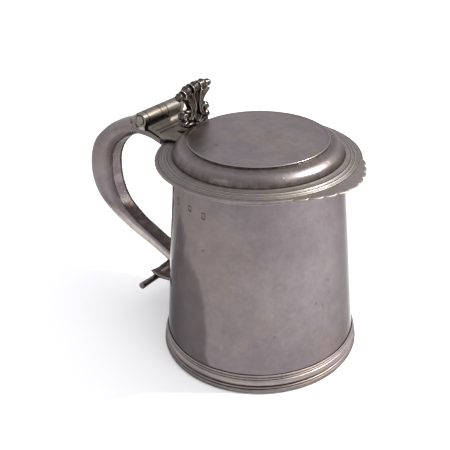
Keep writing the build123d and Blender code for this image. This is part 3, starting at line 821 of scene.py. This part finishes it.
def peak_radius(degrees):
    """How far out the brim's edge is at an angle, in millimetres."""
    half = 4.6 * TOOTH
    off = degrees - PEAK_TURN
    if abs(off) >= half:
        return BRIM_R
    stops = [-half] + [(i - 3.5) * TOOTH for i in range(len(NOTCHES))] + [half]
    radii = [BRIM_R - 0.5, *NOTCHES, BRIM_R - 0.5]
    for a, b, ra, rb in zip(stops, stops[1:], radii, radii[1:]):
        if a <= off <= b:
            t = (off - a) / (b - a)
            return max(BRIM_R - 0.3, ra + (rb - ra) * t + 1.35 * math.sqrt(max(0.0, 4 * t * (1 - t))))
    return BRIM_R


def make_flange():
    def reach(point, angle):
        degrees = (math.degrees(angle) + 180) % 360 - 180
        extra = peak_radius(degrees) - BRIM_R
        share = min(1.0, max(0.0, (point.x - BRIM_R + 2.2) / 2.2))
        height = point.y
        if extra > 0 and share > 0 and height > FLANGE_Z + PEAK_THICK:
            height = FLANGE_Z + PEAK_THICK + (height - FLANGE_Z - PEAK_THICK) * (1 - share)
        return Vector((point.x + extra * share, height))

    top = PLATE_Z - 8.5
    outline = Pen(CAP_R, FLANGE_Z, 0.13).line((CAP_R, top - 0.55))
    outline.curve((51.6, 129.85), (53.3, 129.5)).arc((54.05, 129.58), (54.7, 129.1))
    outline.arc((55.0, 129.25), (55.3, 129.0)).arc((56.1, 129.15), (56.8, 128.62))
    outline.arc((57.1, 128.75), (57.4, 128.5)).arc((57.8, 128.6), (58.2, 128.3))
    outline.arc((59.3, 128.1), (BRIM_R - 0.6, 128.2))
    outline.arc((BRIM_R, 127.5), (BRIM_R - 0.4, FLANGE_Z))
    outline.step = 1.2
    outline.line((CAP_R, FLANGE_Z))
    fine = [PEAK_TURN - 36 + 0.3 * i for i in range(241)]
    coarse = [fine[-1] + 1.2 * i for i in range(1, 240)]
    angles = [math.radians(a) for a in fine + coarse]
    piece = lathe("flange", outline.points[:-1], turns=angles, shape=reach)
    uneven(piece, size=20.0, depth=0.1, seed=13.0)
    # Painted shade mixed with grime on the inner edge of the flange, at the foot of the band.
    shade_and_grime = by_radius((CAP_R, 0.6), (CAP_R + 1.2, 0.18), (CAP_R + 3.0, 0.0))
    settle(piece, "lid", flange_metal, ["lid_flange"], spread=1, stain_shade_and_sheen=shade_and_grime)


def make_bezel():
    r = drum_radius(LIP_Z) - WALL - 0.5
    outline = Pen(r, LIP_Z, 0.5).line((CAP_R - 1.65, FLANGE_Z + 0.6), (CAP_R - 1.65, FLANGE_Z + 2.6))
    outline.line((r - 1.4, FLANGE_Z + 2.6), (r - 2.7, LIP_Z - 5.2), (r - 1.5, LIP_Z - 5.2), (r, LIP_Z))
    piece = lathe("bezel", soften(outline.points[:-1], 1), turns=192)
    settle(piece, "lid", lid_metal, ["lid_bezel"])


make_flange()
make_bezel()

# %% [markdown]
# ## The handle
# The handle is a hollow S-scroll: a D-shaped shell, with a flat strip soldered in along its inner
# side. Near the hinge it spreads into a plate as wide as the barrel. It is swept through the CAD's
# stations, but the last one lies a little further out than in the CAD. Each gives the inner and the
# outer end of the section's middle line, the half width, the half width of the flat and how square
# the crown is.

# %% Sweep the handle
STATIONS = (
    ((61.2, 124.7), (61.2, 129.8), 18.2, 16.8, 6.0),
    ((69.2, 127.0), (69.0, 132.2), 18.2, 16.8, 6.0),
    ((77.5, 127.4), (78.0, 132.9), 17.8, 16.2, 5.0),
    ((85.8, 124.6), (88.0, 132.2), 14.4, 12.2, 3.4),
    ((95.2, 120.1), (99.6, 130.0), 10.9, 8.6, 2.5),
    ((104.2, 115.2), (111.2, 125.7), 8.9, 6.6, 2.2),
    ((113.6, 107.6), (125.2, 117.1), 8.0, 5.6, 2.1),
    ((119.2, 97.8), (137.8, 104.4), 7.8, 5.3, 2.1),
    ((120.9, 86.5), (143.9, 87.4), 7.8, 5.3, 2.1),
    ((119.6, 74.2), (142.6, 70.8), 7.7, 5.3, 2.1),
    ((114.0, 63.6), (133.4, 57.6), 7.4, 5.2, 2.1),
    ((102.6, 54.0), (114.0, 45.8), 7.0, 5.2, 2.2),
    ((89.4, 47.2), (95.8, 38.6), 6.6, 5.2, 2.2),
    ((77.0, 41.2), (82.2, 33.2), 6.3, 5.2, 2.3),
    ((66.0, 35.4), (70.6, 28.0), 6.2, 5.2, 2.4),
    ((55.6, 29.9), (59.2, 23.1), 6.2, 5.2, 2.4),
)


def handle_stations(step=1.0):
    """The stations as vectors (inner, crown, half, flat, square), about a step apart."""
    rows = [(Vector(a), Vector(b), Vector((c, d, e))) for a, b, c, d, e in STATIONS]
    found = []
    knots = [[row[k] for row in rows] for k in range(3)]
    ends = [[2 * k[0] - k[1]] + k + [2 * k[-1] - k[-2]] for k in knots]
    for i in range(len(rows) - 1):
        count = max(2, round((knots[1][i + 1] - knots[1][i]).length / step))
        for n in range(count + (i == len(rows) - 2)):
            found.append([smooth(*track[i:i + 4], n / count) for track in ends])
    return found


def section_points(station, inset=0.0, count=22):
    """The D of one station without its flat side, from one arris over the crown to the other."""
    inner, crown, (half, flat, square) = station
    depth = (crown - inner).length - inset
    widest = 0.36 * (crown - inner).length
    points = [Vector((flat - inset, 0.0))]
    for i in range(1, 5):
        t = i / 5
        points.append(Vector((flat - inset + (half - flat) * math.sin(t * math.pi / 2), widest * t)))
    for i in range(count + 1):
        turn = math.pi / 2 * i / count
        x = (half - inset) * abs(math.cos(turn)) ** (2 / square)
        y = widest + (depth - widest) * abs(math.sin(turn)) ** (2 / square)
        points.append(Vector((x, y)))
    return points + [Vector((-p.x, p.y)) for p in reversed(points[:-1])]


def put_section(station, points):
    """Stand a flat section up at its station."""
    inner, crown, _ = station
    along = (crown - inner).normalized()
    return [Vector((-(inner.x + along.x * p.y), p.x, inner.y + along.y * p.y)) for p in points]


def make_handle():
    inner_line = spline([Vector((-row[0][0], row[0][1])) for row in STATIONS], 2.0)

    # Painted shade mixed with grime along the inner corner beside the strip, and a painted highlight on the
    # lower flank, where the floor is reflected.
    def near_the_strip(place):
        reach = min((Vector((place.x, place.z)) - p).length for p in inner_line)
        corner_shade_and_grime = 0.5 * max(0.0, 1.0 - reach / 6.0)
        painted_sheen = 0.95 * min(1.0, max(0.0, (62.0 - place.z) / 14.0)) * min(1.0, reach / 3.0)
        return corner_shade_and_grime - painted_sheen

    # The strip is darker above 82 mm, light in the middle and darker again lower down.
    def strip_darkness(place):
        if place.z > 82.0:
            return 0.42
        return 0.12 if place.z > 70.0 else min(0.75, 0.12 + (70.0 - place.z) * 0.08)

    stations = handle_stations(1.1)
    strip_seat = 1.5
    shell, strip = [], []
    for station in stations:
        outer = section_points(station)
        lip = outer[0].x
        seat = lip - 0.9
        deep = [Vector((-lip + 0.25, 0.0)), Vector((-seat, 0.12)), Vector((-seat, strip_seat))]
        floor = [Vector((-seat + 2 * seat * k / 8, strip_seat)) for k in range(1, 8)]
        deep += floor + [Vector((seat, strip_seat)), Vector((seat, 0.12)), Vector((lip - 0.25, 0.0))]
        shell.append(put_section(station, outer + deep))
        edge = seat - 0.1
        low, high = 0.28, strip_seat - 0.02
        bar = [Vector((-edge + 2 * edge * k / 10, low)) for k in range(11)]
        bar += [Vector((edge - 2 * edge * k / 10, high)) for k in range(11)]
        strip.append(put_section(station, bar))
    bm = bmesh.new()
    skin(bm, shell)
    body = mesh_from("handle_scroll", bm)
    uneven(body, size=14.0, depth=0.18, seed=17.0)
    settle(body, "tankard", handle_metal, ["handle_shell"], stain_shade_and_sheen=near_the_strip)
    bm = bmesh.new()
    skin(bm, strip)
    inlay = mesh_from("handle_inner_strip", bm)
    uneven(inlay, size=12.0, depth=0.12, seed=19.0)
    settle(inlay, "tankard", handle_metal, ["handle_strip"], stain_shade_and_sheen=strip_darkness)


make_handle()

# %% [markdown]
# ## Blocks with rounded arrises
# Some small pieces are flat outlines with a thickness: the socket under the flange, the hinge
# plate and the knuckles' lugs. They are drawn in the XZ plane and carried along Y in slices, with
# the first and last slices drawn in a little, so that every arris is rounded.

# %% A block carried along Y
def carry(bm, outline, y_low, y_high, round_by=0.5, slices=24, limit=None):
    """Carry an outline of (x, z) points along Y, rounded at both ends. limit may move a point."""
    centre = sum(outline, Vector((0, 0))) / len(outline)
    rings = []
    ends = [(0.0, round_by), (0.3, 0.3), (1.0, 0.0)]
    stops = [(y_low + a * round_by, b) for a, b in ends]
    inner = (y_high - y_low) - 2 * round_by
    stops += [(y_low + round_by + inner * i / slices, 0.0) for i in range(1, slices)]
    stops += [(y_high - a * round_by, b) for a, b in reversed(ends)]
    for y, inset in stops:
        ring = []
        for p in outline:
            out = p - centre
            q = centre + out * max(0.0, 1 - inset * round_by / max(out.length, 1e-6))
            q = limit(q, y) if limit else q
            ring.append(Vector((q.x, y, q.y)))
        rings.append(ring)
    skin(bm, rings)


def make_socket():
    def outside_drum(p, y):
        reach = drum_radius(p.y) - 0.3
        return Vector((min(p.x, -math.sqrt(max(0.0, reach**2 - y**2))), p.y))

    outline = Pen(-61.2, 126.2, 0.8).line((-61.2, 124.9))
    outline.curve((-57.0, 121.2), (-53.5, 115.8), (-51.4, 110.5))
    outline.line((-48.0, 110.5), (-48.0, 126.2), (-61.2, 126.2))
    bm = bmesh.new()
    carry(bm, soften(outline.points[:-1], 2), -15.0, 15.0, 0.8, 30, outside_drum)
    piece = mesh_from("handle_socket", bm)
    settle(piece, "tankard", handle_metal, ["upper_socket"])


make_socket()

# %% [markdown]
# ## The tail of the handle
# Below its lower joint the handle ends in a small scoop that flares out to a straight lip, hollow
# along and across, with a round bar under the lip. Rings across the scoop follow its two curves.

# %% The scoop and its bar
SCOOP_TOP = ((-56.2, 30.0), (-61.5, 26.6), (-65.5, 21.9), (-71.0, 19.9), (-79.0, 19.4), (-87.3, 20.9))
SCOOP_UNDER = ((-56.2, 15.6), (-63.0, 15.9), (-70.0, 15.7), (-76.6, 15.3), (-83.5, 15.0), (-87.6, 19.3))
SCOOP_HALF_WIDTHS = ((-56.2, 6.1), (-61.0, 6.6), (-68.0, 8.2), (-79.0, 9.5), (-87.6, 9.7))


def make_tail():
    knots = (SCOOP_TOP, SCOOP_UNDER, SCOOP_HALF_WIDTHS)
    upper, lower, widths = (spline([Vector(p) for p in row], 0.8) for row in knots)
    count = 44

    def along(points, t):
        place = t * (len(points) - 1)
        i = min(int(place), len(points) - 2)
        return points[i].lerp(points[i + 1], place - i)

    rings = []
    for i in range(count + 1):
        t = i / count
        top, under, half = along(upper, t), along(lower, t), along(widths, t).y
        dish = 2.1 * min(1.0, t * 2.2)
        ring = []
        for k in range(17):
            s = 1 - 2 * k / 16
            lift = dish * (abs(s) ** 2.2 - 1) if abs(s) < 0.93 else 0.0
            ring.append(Vector((top.x, half * s, top.y + lift + dish * 0.25)))
        for k in range(13):
            s = -1 + 2 * k / 12
            sag = 1.0 - math.sqrt(max(0.0, 1 - (0.97 * s) ** 2))
            lip = top.y + dish * 0.25 - 1.0
            ring.append(Vector((under.x, half * s * 0.985, min(lip, under.y - 1.2 * (1 - t) + sag * 3.4))))
        rings.append(ring)
    bm = bmesh.new()
    skin(bm, rings)
    scoop = mesh_from("tail_scoop", bm)

    # Painted shade and painted reflection of the dark drum darken the inside of the scoop; the rim stays
    # plain.
    def dish_shade(place):
        half = 6.1 + 3.6 * min(1.0, max(0.0, (-56.2 - place.x) / 22.0))
        on_the_rim = abs(place.y) > half - 0.5 or place.x < -86.9
        return 0.0 if on_the_rim else 0.85

    settle(scoop, "tankard", handle_metal, ["terminal"], spread=1, stain_shade_and_sheen=dish_shade)

    low, high = box_mm("terminal_bar")
    radius, half = (high.z - low.z) / 2, high.y
    x, z = (low.x + high.x) / 2, (low.z + high.z) / 2
    outline = Pen(0, -half, 0.4).line((radius - 1.0, -half))
    outline.arc((radius - 0.3, -half + 0.3), (radius, -half + 1.0))
    waists = ((radius - 0.25, -half * 0.55), (radius - 0.1, 0), (radius - 0.25, half * 0.55))
    outline.curve(*waists, (radius, half - 1.0))
    outline.arc((radius - 0.3, half - 0.3), (radius - 1.0, half)).line((0, half))
    bar = lathe("tail_bar", outline.points, turns=40, on_axis=True)
    turn = Matrix.Translation(Vector((x, 0, z)) * MM) @ Matrix.Rotation(math.pi / 2, 4, "X")
    bar.data.transform(turn)
    uneven(bar, size=5.0, depth=0.15, seed=23.0)
    settle(bar, "tankard", handle_metal, ["terminal_bar"])


make_tail()

# %% [markdown]
# ## The hinge
# Five knuckles share one pin. Three belong to the handle and two to the lid, and each has a lug
# that grows out of its barrel. The arrises at the joints are rounded and stained, so a fine dark
# line shows where two knuckles meet. The pin's round end shows in the outermost knuckle.

# %% Knuckles and pin
def hinge_ring(y, radius):
    """A ring of points about the hinge's axis."""
    angles = [math.radians(4 * i) for i in range(90)]
    return [Vector((HINGE.x + radius * math.cos(a), y, HINGE.z + radius * math.sin(a))) for a in angles]


def make_knuckle(node, name, body, lug, seam_round=0.18):
    low, high = box_mm(node)
    bm = bmesh.new()
    steps = [(0.0, BARREL_R - seam_round), (seam_round * 0.35, BARREL_R - seam_round * 0.35)]
    steps += [(seam_round, BARREL_R), (seam_round + 0.1, BARREL_R)]
    length = high.y - low.y
    stops = [(low.y + a, r) for a, r in steps]
    stops += [(low.y + seam_round + (length - 2 * seam_round) * i / 12, BARREL_R) for i in range(1, 12)]
    stops += [(high.y - a, r) for a, r in reversed(steps)]
    bore = 3.05
    rings = [hinge_ring(y, radius) for y, radius in stops]
    rings += [hinge_ring(y, bore) for y in (high.y, high.y - 0.5, low.y + 0.5, low.y)]
    skin(bm, rings, wrap=True)
    carry(bm, [Vector(p) for p in lug], low.y + 0.02, high.y - 0.02, 0.25, 6)
    piece = mesh_from(name, bm)
    uneven(piece, size=6.0, depth=0.06, seed=29.0)

    def at_the_seams(place):
        at_a_seam = min(place.y - low.y, high.y - place.y) < seam_round + 0.02
        return 0.9 if at_a_seam and abs(place.y) < pin_high.y - 0.8 else 0.0

    settle(piece, body, hinge_metal, [node], stain_shade_and_sheen=at_the_seams)


def lug_outline(*corners):
    """The outline of a lug, from its corners as (x, z)."""
    return Pen(*corners[0], 0.7).line(*corners[1:], corners[0]).points[:-1]


HANDLE_LUG = lug_outline((-80.4, 136.6), (-80.8, 131.3), (-73.0, 131.3), (-72.9, 135.4), (-74.6, 136.2))
LID_LUG = lug_outline((-74.0, 136.4), (-72.4, 135.2), (-70.4, 134.9), (-70.4, 134.1), (-74.2, 134.3))
make_knuckle("handle_knuckle_near", "outer_knuckle_near", "tankard", HANDLE_LUG)
make_knuckle("handle_knuckle_middle", "middle_knuckle", "tankard", HANDLE_LUG)
make_knuckle("handle_knuckle_far", "outer_knuckle_far", "tankard", HANDLE_LUG)
make_knuckle("lid_knuckle_near", "lid_barrel_near", "lid", LID_LUG)
make_knuckle("lid_knuckle_far", "lid_barrel_far", "lid", LID_LUG)


def make_pin():
    radius, half = (pin_high.x - pin_low.x) / 2, pin_high.y
    outline = Pen(0, -half, 0.3).line((radius - 0.5, -half))
    outline.arc((radius - 0.15, -half + 0.15), (radius, -half + 0.5)).line((radius, half - 0.5))
    outline.arc((radius - 0.15, half - 0.15), (radius - 0.5, half)).line((0, half))
    pin = lathe("pin", outline.points, turns=48, on_axis=True)
    pin.data.transform(Matrix.Translation(HINGE * MM) @ Matrix.Rotation(math.pi / 2, 4, "X"))
    settle(pin, "tankard", hinge_metal, ["hinge_pin"])


make_pin()

# %% [markdown]
# From each end of the barrel a drop tapers down the handle's shoulder and ends in a bead. It is
# turned about its own line, half sunk in the shoulder.

# %% The two drops
def make_drop(node, side):
    root = Vector((-79.2, side * 16.0, 133.9))
    tip = Vector((-94.4, side * 8.4, 130.9))
    run = (tip - root).length
    outline = Pen(0, 0, 0.3).line((1.2, 0))
    outline.curve((3.4, 0.7), (3.6, 2.4), (2.7, 5.0), (1.9, 8.0), (1.25, 11.4))
    outline.curve((0.85, run - 3.0)).curve((1.45, run - 1.4), (1.2, run - 0.3), (0, run))
    drop = lathe(node.replace("hinge_", "barrel_"), outline.points, turns=40, on_axis=True)
    aim = (tip - root).to_track_quat("Z", "Y").to_matrix().to_4x4()
    drop.data.transform(Matrix.Translation(root * MM) @ aim)
    settle(drop, "tankard", hinge_metal, [node], spread=1)


make_drop("hinge_drop_near", -1)
make_drop("hinge_drop_far", 1)

# %% [markdown]
# ## The hinge plate
# Between the lid's knuckles and the cap lies a stepped plate: a rib along the barrel, a hollow, a
# step and a flat. It stops against the wall of the cap, so each slice ends on the cap's circle.

# %% The stepped plate
def make_hinge_plate():
    def stop_at_cap(p, y):
        wall = -math.sqrt((CAP_R - 0.8) ** 2 - y * y)
        return Vector((min(p.x, wall), p.y))

    outline = Pen(-46.5, 132.6, 0.45).line((-60.7, 133.0), (-61.4, 134.05), (-62.6, 134.15))
    outline.arc((-65.0, 133.6), (-67.0, 134.7)).arc((-68.9, 136.0), (-70.4, 135.2))
    outline.line((-70.4, 133.6), (-66.0, 132.2), (-61.3, 130.5), (-60.6, 129.0), (-57.9, 129.0))
    outline.line((-52.0, 130.0), (-46.5, 130.6), (-46.5, 132.6))
    bm = bmesh.new()
    half = box_mm("hinge_plate")[1].y
    carry(bm, soften(outline.points[:-1], 1), -half, half, 0.45, 48, stop_at_cap)
    piece = mesh_from("stepped_plate", bm)
    uneven(piece, size=8.0, depth=0.12, seed=31.0)

    def on_the_ends(place):
        return 0.30 if abs(place.y) > half - 0.25 else 0.22

    settle(piece, "lid", hinge_metal, ["hinge_plate"], stain_shade_and_sheen=on_the_ends)


make_hinge_plate()

# %% [markdown]
# ## The thumbpiece
# A casting is soft: every form runs into the next. So the thumbpiece is laid out as separate
# strands, rolls and balls, which overlap, and a voxel remesh then melts them into one skin. A
# fan of five rolled ends crowns it, fluted strands run down to a waist and open round a pointed
# leaf-shaped hole, and on each side two volutes curl out.

# %% Strands, beads and volutes
THUMB_X = sum(c.x for c in box_mm("thumbpiece")) / 2
CREST = ((-13.9, 157.4, 2.8), (-7.6, 159.2, 3.6), (-0.4, 160.0, 3.6), (6.0, 160.4, 3.1), (11.6, 159.6, 2.4))
OUTER_STRAND = (
    (11.6, 157.4, 2.4), (8.4, 155.0, 2.3), (5.6, 151.6, 1.9),
    (4.3, 147.4, 1.6), (5.0, 143.6, 1.5), (7.6, 141.6, 1.3),
)
LEAF_RIDGE = (
    (3.6, 158.0), (2.9, 154.0), (1.9, 150.0), (1.5, 147.8), (2.9, 144.0), (2.7, 140.6), (0.4, 138.6),
)
LEAF_SIDE = (
    (5.0, 157.6, 1.9), (3.4, 153.6, 1.7), (2.2, 149.6, 1.1), (3.0, 145.8, 0.75),
    (3.1, 142.4, 0.75), (1.5, 139.4, 0.9), (0, 138.2, 1.2),
)
UPPER_ARM = ((4.0, 146.6, 1.3), (6.0, 146.6, 1.3), (8.0, 147.0, 1.2), (9.6, 147.1, 1.0))
LOWER_ARM = ((2.6, 137.0, 1.5), (5.0, 138.2, 1.5), (7.4, 138.4, 1.3), (9.8, 137.7, 1.0))
LEG = ((6.4, 136.8, 1.5), (4.6, 139.4, 1.4), (4.8, 142.4, 1.4))
INNER_STRANDS = ((LEAF_SIDE, 1.3), (UPPER_ARM, 1.7), (LOWER_ARM, 1.6), (LEG, 1.5))


def strand(bm, knots, depth=1.0, shift=0.0):
    """A tapering strand through (y, z, radius) knots. depth stretches it along X."""
    line = spline([Vector(k) for k in knots], 0.4)
    rings = []
    for i, here in enumerate(line):
        ahead, behind = line[min(i + 1, len(line) - 1)], line[max(i - 1, 0)]
        along = Vector((ahead.x - behind.x, ahead.y - behind.y)).normalized()
        side = Vector((-along.y, along.x))
        ring = []
        for k in range(16):
            a = math.pi * k / 8
            out = side * math.cos(a) * here.z
            forward = math.sin(a) * here.z * depth
            ring.append(Vector((THUMB_X + shift + forward, here.x + out.x, here.y + out.y)))
        rings.append(ring)
    skin(bm, rings)


def ball(bm, centre, radius):
    """A small ball."""
    rings = [[centre + Vector((0, 0, -radius))]]
    for i in range(1, 8):
        turn = math.pi * i / 8
        angles = [math.pi * k / 6 for k in range(12)]
        ring = [Vector((math.cos(a), math.sin(a), 0)) * math.sin(turn) for a in angles]
        rings.append([centre + radius * (p - Vector((0, 0, math.cos(turn)))) for p in ring])
    rings.append([centre + Vector((0, 0, radius))])
    skin(bm, rings)


def crest(bm):
    """Five gadroons side by side, with fine ridges over them and a narrow fillet between each two."""
    for index, (y, z, radius) in enumerate(CREST):
        before, after = CREST[max(index - 1, 0)], CREST[min(index + 1, len(CREST) - 1)]
        along = Vector((after[0] - before[0], after[1] - before[1])).normalized()
        half = 3.1 if 0 < index < len(CREST) - 1 else 2.6
        knots = []
        for i in range(25):
            t = 2 * i / 24 - 1
            swell = math.sqrt(max(0.0, 1 - 0.93 * t * t))
            ridge = 0.93 + 0.07 * abs(math.cos(1.5 * math.pi * t))
            knots.append((y + along.x * half * t, z + along.y * half * t, max(0.3, radius * swell * ridge)))
        strand(bm, knots, depth=0.98)
    for left, right in zip(CREST, CREST[1:]):
        along = Vector((right[0] - left[0], right[1] - left[1])).normalized()
        middle = Vector(((left[0] + right[0]) / 2, (left[1] + right[1]) / 2))
        radius = 0.93 * min(left[2], right[2])
        collar = ((-0.42, 0.3), (-0.38, radius), (0.38, radius), (0.42, 0.3))
        knots = [(middle.x + along.x * o, middle.y + along.y * o, r) for o, r in collar]
        strand(bm, knots, depth=1.05)


def volute(bm, y, z, radius, way, shift=0.0):
    """A roll across the casting. A ridge curls in on both of its ends to a small ball."""
    half = [(0, 0.86), (0.7, 0.98), (1.6, 1.0), (2.05, 0.88), (2.1, 0.5)]
    turns = [math.pi * k / 12 for k in range(24)]
    rings = []
    for off, share in [(-o, share) for o, share in reversed(half[1:])] + half:
        out = radius * share
        x = THUMB_X + shift + off
        rings.append([Vector((x, y + out * math.cos(a), z + out * math.sin(a))) for a in turns])
    skin(bm, rings)
    knots = []
    for i in range(23):
        t = i / 22
        turn = way * math.pi * 3.0 * t
        out = (radius - 0.42) * (1.0 - 0.72 * t)
        knots.append((y + out * math.cos(turn), z + out * math.sin(turn), 0.42 - 0.08 * t))
    for face in (-1, 1):
        strand(bm, knots, depth=1.2, shift=shift + face * 2.15)
        ball(bm, Vector((THUMB_X + shift + face * 2.1, y, z)), 0.55)


def make_thumbpiece():
    bm = bmesh.new()
    crest(bm)
    for side in (-1, 1):
        lean = 1.7 if side > 0 else 0.0
        outer = [(side * (y - lean), z, r) for y, z, r in OUTER_STRAND]
        strand(bm, outer, 1.45)
        for face in (-1, 1):
            strand(bm, [(y - side * 0.9, z, 0.5) for y, z, _ in outer], 1.0, face * 2.3)
            strand(bm, [(y + side * (r - 0.35), z - 0.2, 0.42) for y, z, r in outer[:5]], 1.0, face * 1.9)
            strand(bm, [(side * y, z, 0.5) for y, z in LEAF_RIDGE], 1.0, face * 1.9)
        for knots, depth in INNER_STRANDS:
            strand(bm, [(side * y, z, r) for y, z, r in knots], depth)
    volute(bm, -11.9, 144.8, 2.4, 1)
    volute(bm, -11.3, 139.9, 2.1, 1)
    volute(bm, 8.6, 146.0, 2.5, -1, -0.5)
    volute(bm, 9.0, 141.0, 2.3, -1, -0.5)
    strand(bm, ((0, 148.4, 0.8), (0, 151.0, 1.3), (0, 155.0, 1.7), (0, 159.0, 2.0)), 1.2)
    strand(bm, ((-7.0, 137.0, 1.6), (0, 136.9, 1.8), (7.0, 137.0, 1.6)), 1.2)
    piece = mesh_from("scroll_thumbpiece", bm)
    melt = piece.modifiers.new("melt", "REMESH")
    melt.mode = "VOXEL"
    melt.voxel_size = 0.21 * MM
    ease = piece.modifiers.new("ease", "SMOOTH")
    ease.factor = 0.5
    ease.iterations = 1
    bpy.context.view_layer.update()
    melted = bpy.data.meshes.new_from_object(piece.evaluated_get(bpy.context.evaluated_depsgraph_get()))
    piece.modifiers.clear()
    piece.data = melted
    piece.data.materials.clear()
    piece.data.shade_smooth()
    settle(piece, "lid", cast_scroll, ["thumbpiece"], spread=1)


make_thumbpiece()

# %% [markdown]
# ## The solder foot
# The thumbpiece stands in a lump of solder that was run over the edge of the cap and down on to
# the hinge plate. It is a block with a sagging back, left lumpy by noise of two sizes.

# %% The lump of solder
def make_thumb_foot():
    bm = bmesh.new()
    outline = Pen(-43.7, 135.6, 0.5).line((-44.2, 137.1), (-49.4, 137.2))
    outline.curve((-51.6, 135.3), (-53.4, 133.7), (-56.6, 133.0))
    outline.line((-56.6, 131.8), (-49.9, 131.0), (-48.0, 133.2), (-43.7, 135.6))
    carry(bm, soften(outline.points[:-1], 2), -9.0, 9.0, 1.6, 24)
    piece = mesh_from("solder_foot", bm)
    uneven(piece, size=3.0, depth=0.6, seed=37.0)
    uneven(piece, size=1.2, depth=0.25, seed=41.0)
    settle(piece, "lid", solder, ["thumb_foot"])


make_thumb_foot()

# %% [markdown]
# ## Table, light and camera
# The tankard stands on a plain white table in a white room. One small lamp high on the right
# gives it a shadow, which the drum reflects on its left side. Two weak soft boxes, on the right and
# on the left, add highlights to the lid, and the pale room does the rest.

# %% The table
def make_table():
    mesh = bpy.data.meshes.new("table_top")
    bm = bmesh.new()
    bmesh.ops.create_circle(bm, cap_ends=True, segments=96, radius=6.0)
    bm.to_mesh(mesh)
    bm.free()
    table = bpy.data.objects.new("table_top", mesh)
    bpy.context.scene.collection.objects.link(table)
    material = bpy.data.materials.new("white_table")
    material.use_nodes = True
    shader = material.node_tree.nodes["Principled BSDF"]
    shader.inputs["Base Color"].default_value = (0.86, 0.86, 0.87, 1)
    shader.inputs["Roughness"].default_value = 0.75
    mesh.materials.append(material)


make_table()


# %% Lamps and room
def lamp(name, place, aim, size, power, colour):
    """A round area lamp at place, in metres, that shines towards aim."""
    data = bpy.data.lights.new(name, "AREA")
    data.shape = "DISK"
    data.size = size
    data.energy = power
    data.color = colour
    light = bpy.data.objects.new(name, data)
    light.location = place
    light.rotation_euler = (Vector(aim) - Vector(place)).to_track_quat("-Z", "Y").to_euler()
    bpy.context.scene.collection.objects.link(light)


lamp("key_lamp", (0.342, 0.239, 0.555), (0, 0, 0.06), 0.035, 8.4, (1.0, 0.98, 0.96))
lamp("soft_box", (0.52, -0.08, 0.50), (0, 0, 0.12), 0.26, 0.65, (1.0, 0.97, 0.93))
lamp("left_box", (-0.10, -0.62, 0.42), (0, 0, 0.12), 0.20, 0.35, (1.0, 0.98, 0.95))

world = bpy.data.worlds.new("pale_room")
world.use_nodes = True
tree = world.node_tree
tree.nodes.clear()
direction = put(tree, "TexCoord").outputs["Generated"]
height = put(tree, "SeparateXYZ", {"Vector": direction}).outputs["Z"]
rise = ramp_of(tree, height, 0.0, 0.9)
room = blend_of(tree, rise, (1.0, 1.0, 1.02, 1), (0.80, 0.80, 0.82, 1))
surface = put(tree, "Background", {"Color": room, "Strength": 1.43})
tree.links.new(surface.outputs[0], put(tree, "OutputWorld").inputs["Surface"])
bpy.context.scene.world = world
bpy.context.scene.view_settings.view_transform = "Standard"


# %% The camera
def make_camera():
    data = bpy.data.cameras.new("camera")
    data.sensor_width = 36.0
    data.lens = 62.3
    data.shift_x = -0.0763
    camera = bpy.data.objects.new("camera", data)
    heading, pitch, roll = math.radians(36.0), math.radians(29.28), -0.008
    back = Vector((math.sin(heading), -math.cos(heading), 0))
    camera.matrix_world = (
        Matrix.Translation(back * 0.4168 + Vector((0, 0, 0.3145)))
        @ Matrix.Rotation(heading, 4, "Z")
        @ Matrix.Rotation(math.pi / 2 - pitch, 4, "X")
        @ Matrix.Rotation(roll, 4, "Z")
    )
    bpy.context.scene.collection.objects.link(camera)
    bpy.context.scene.camera = camera


make_camera()
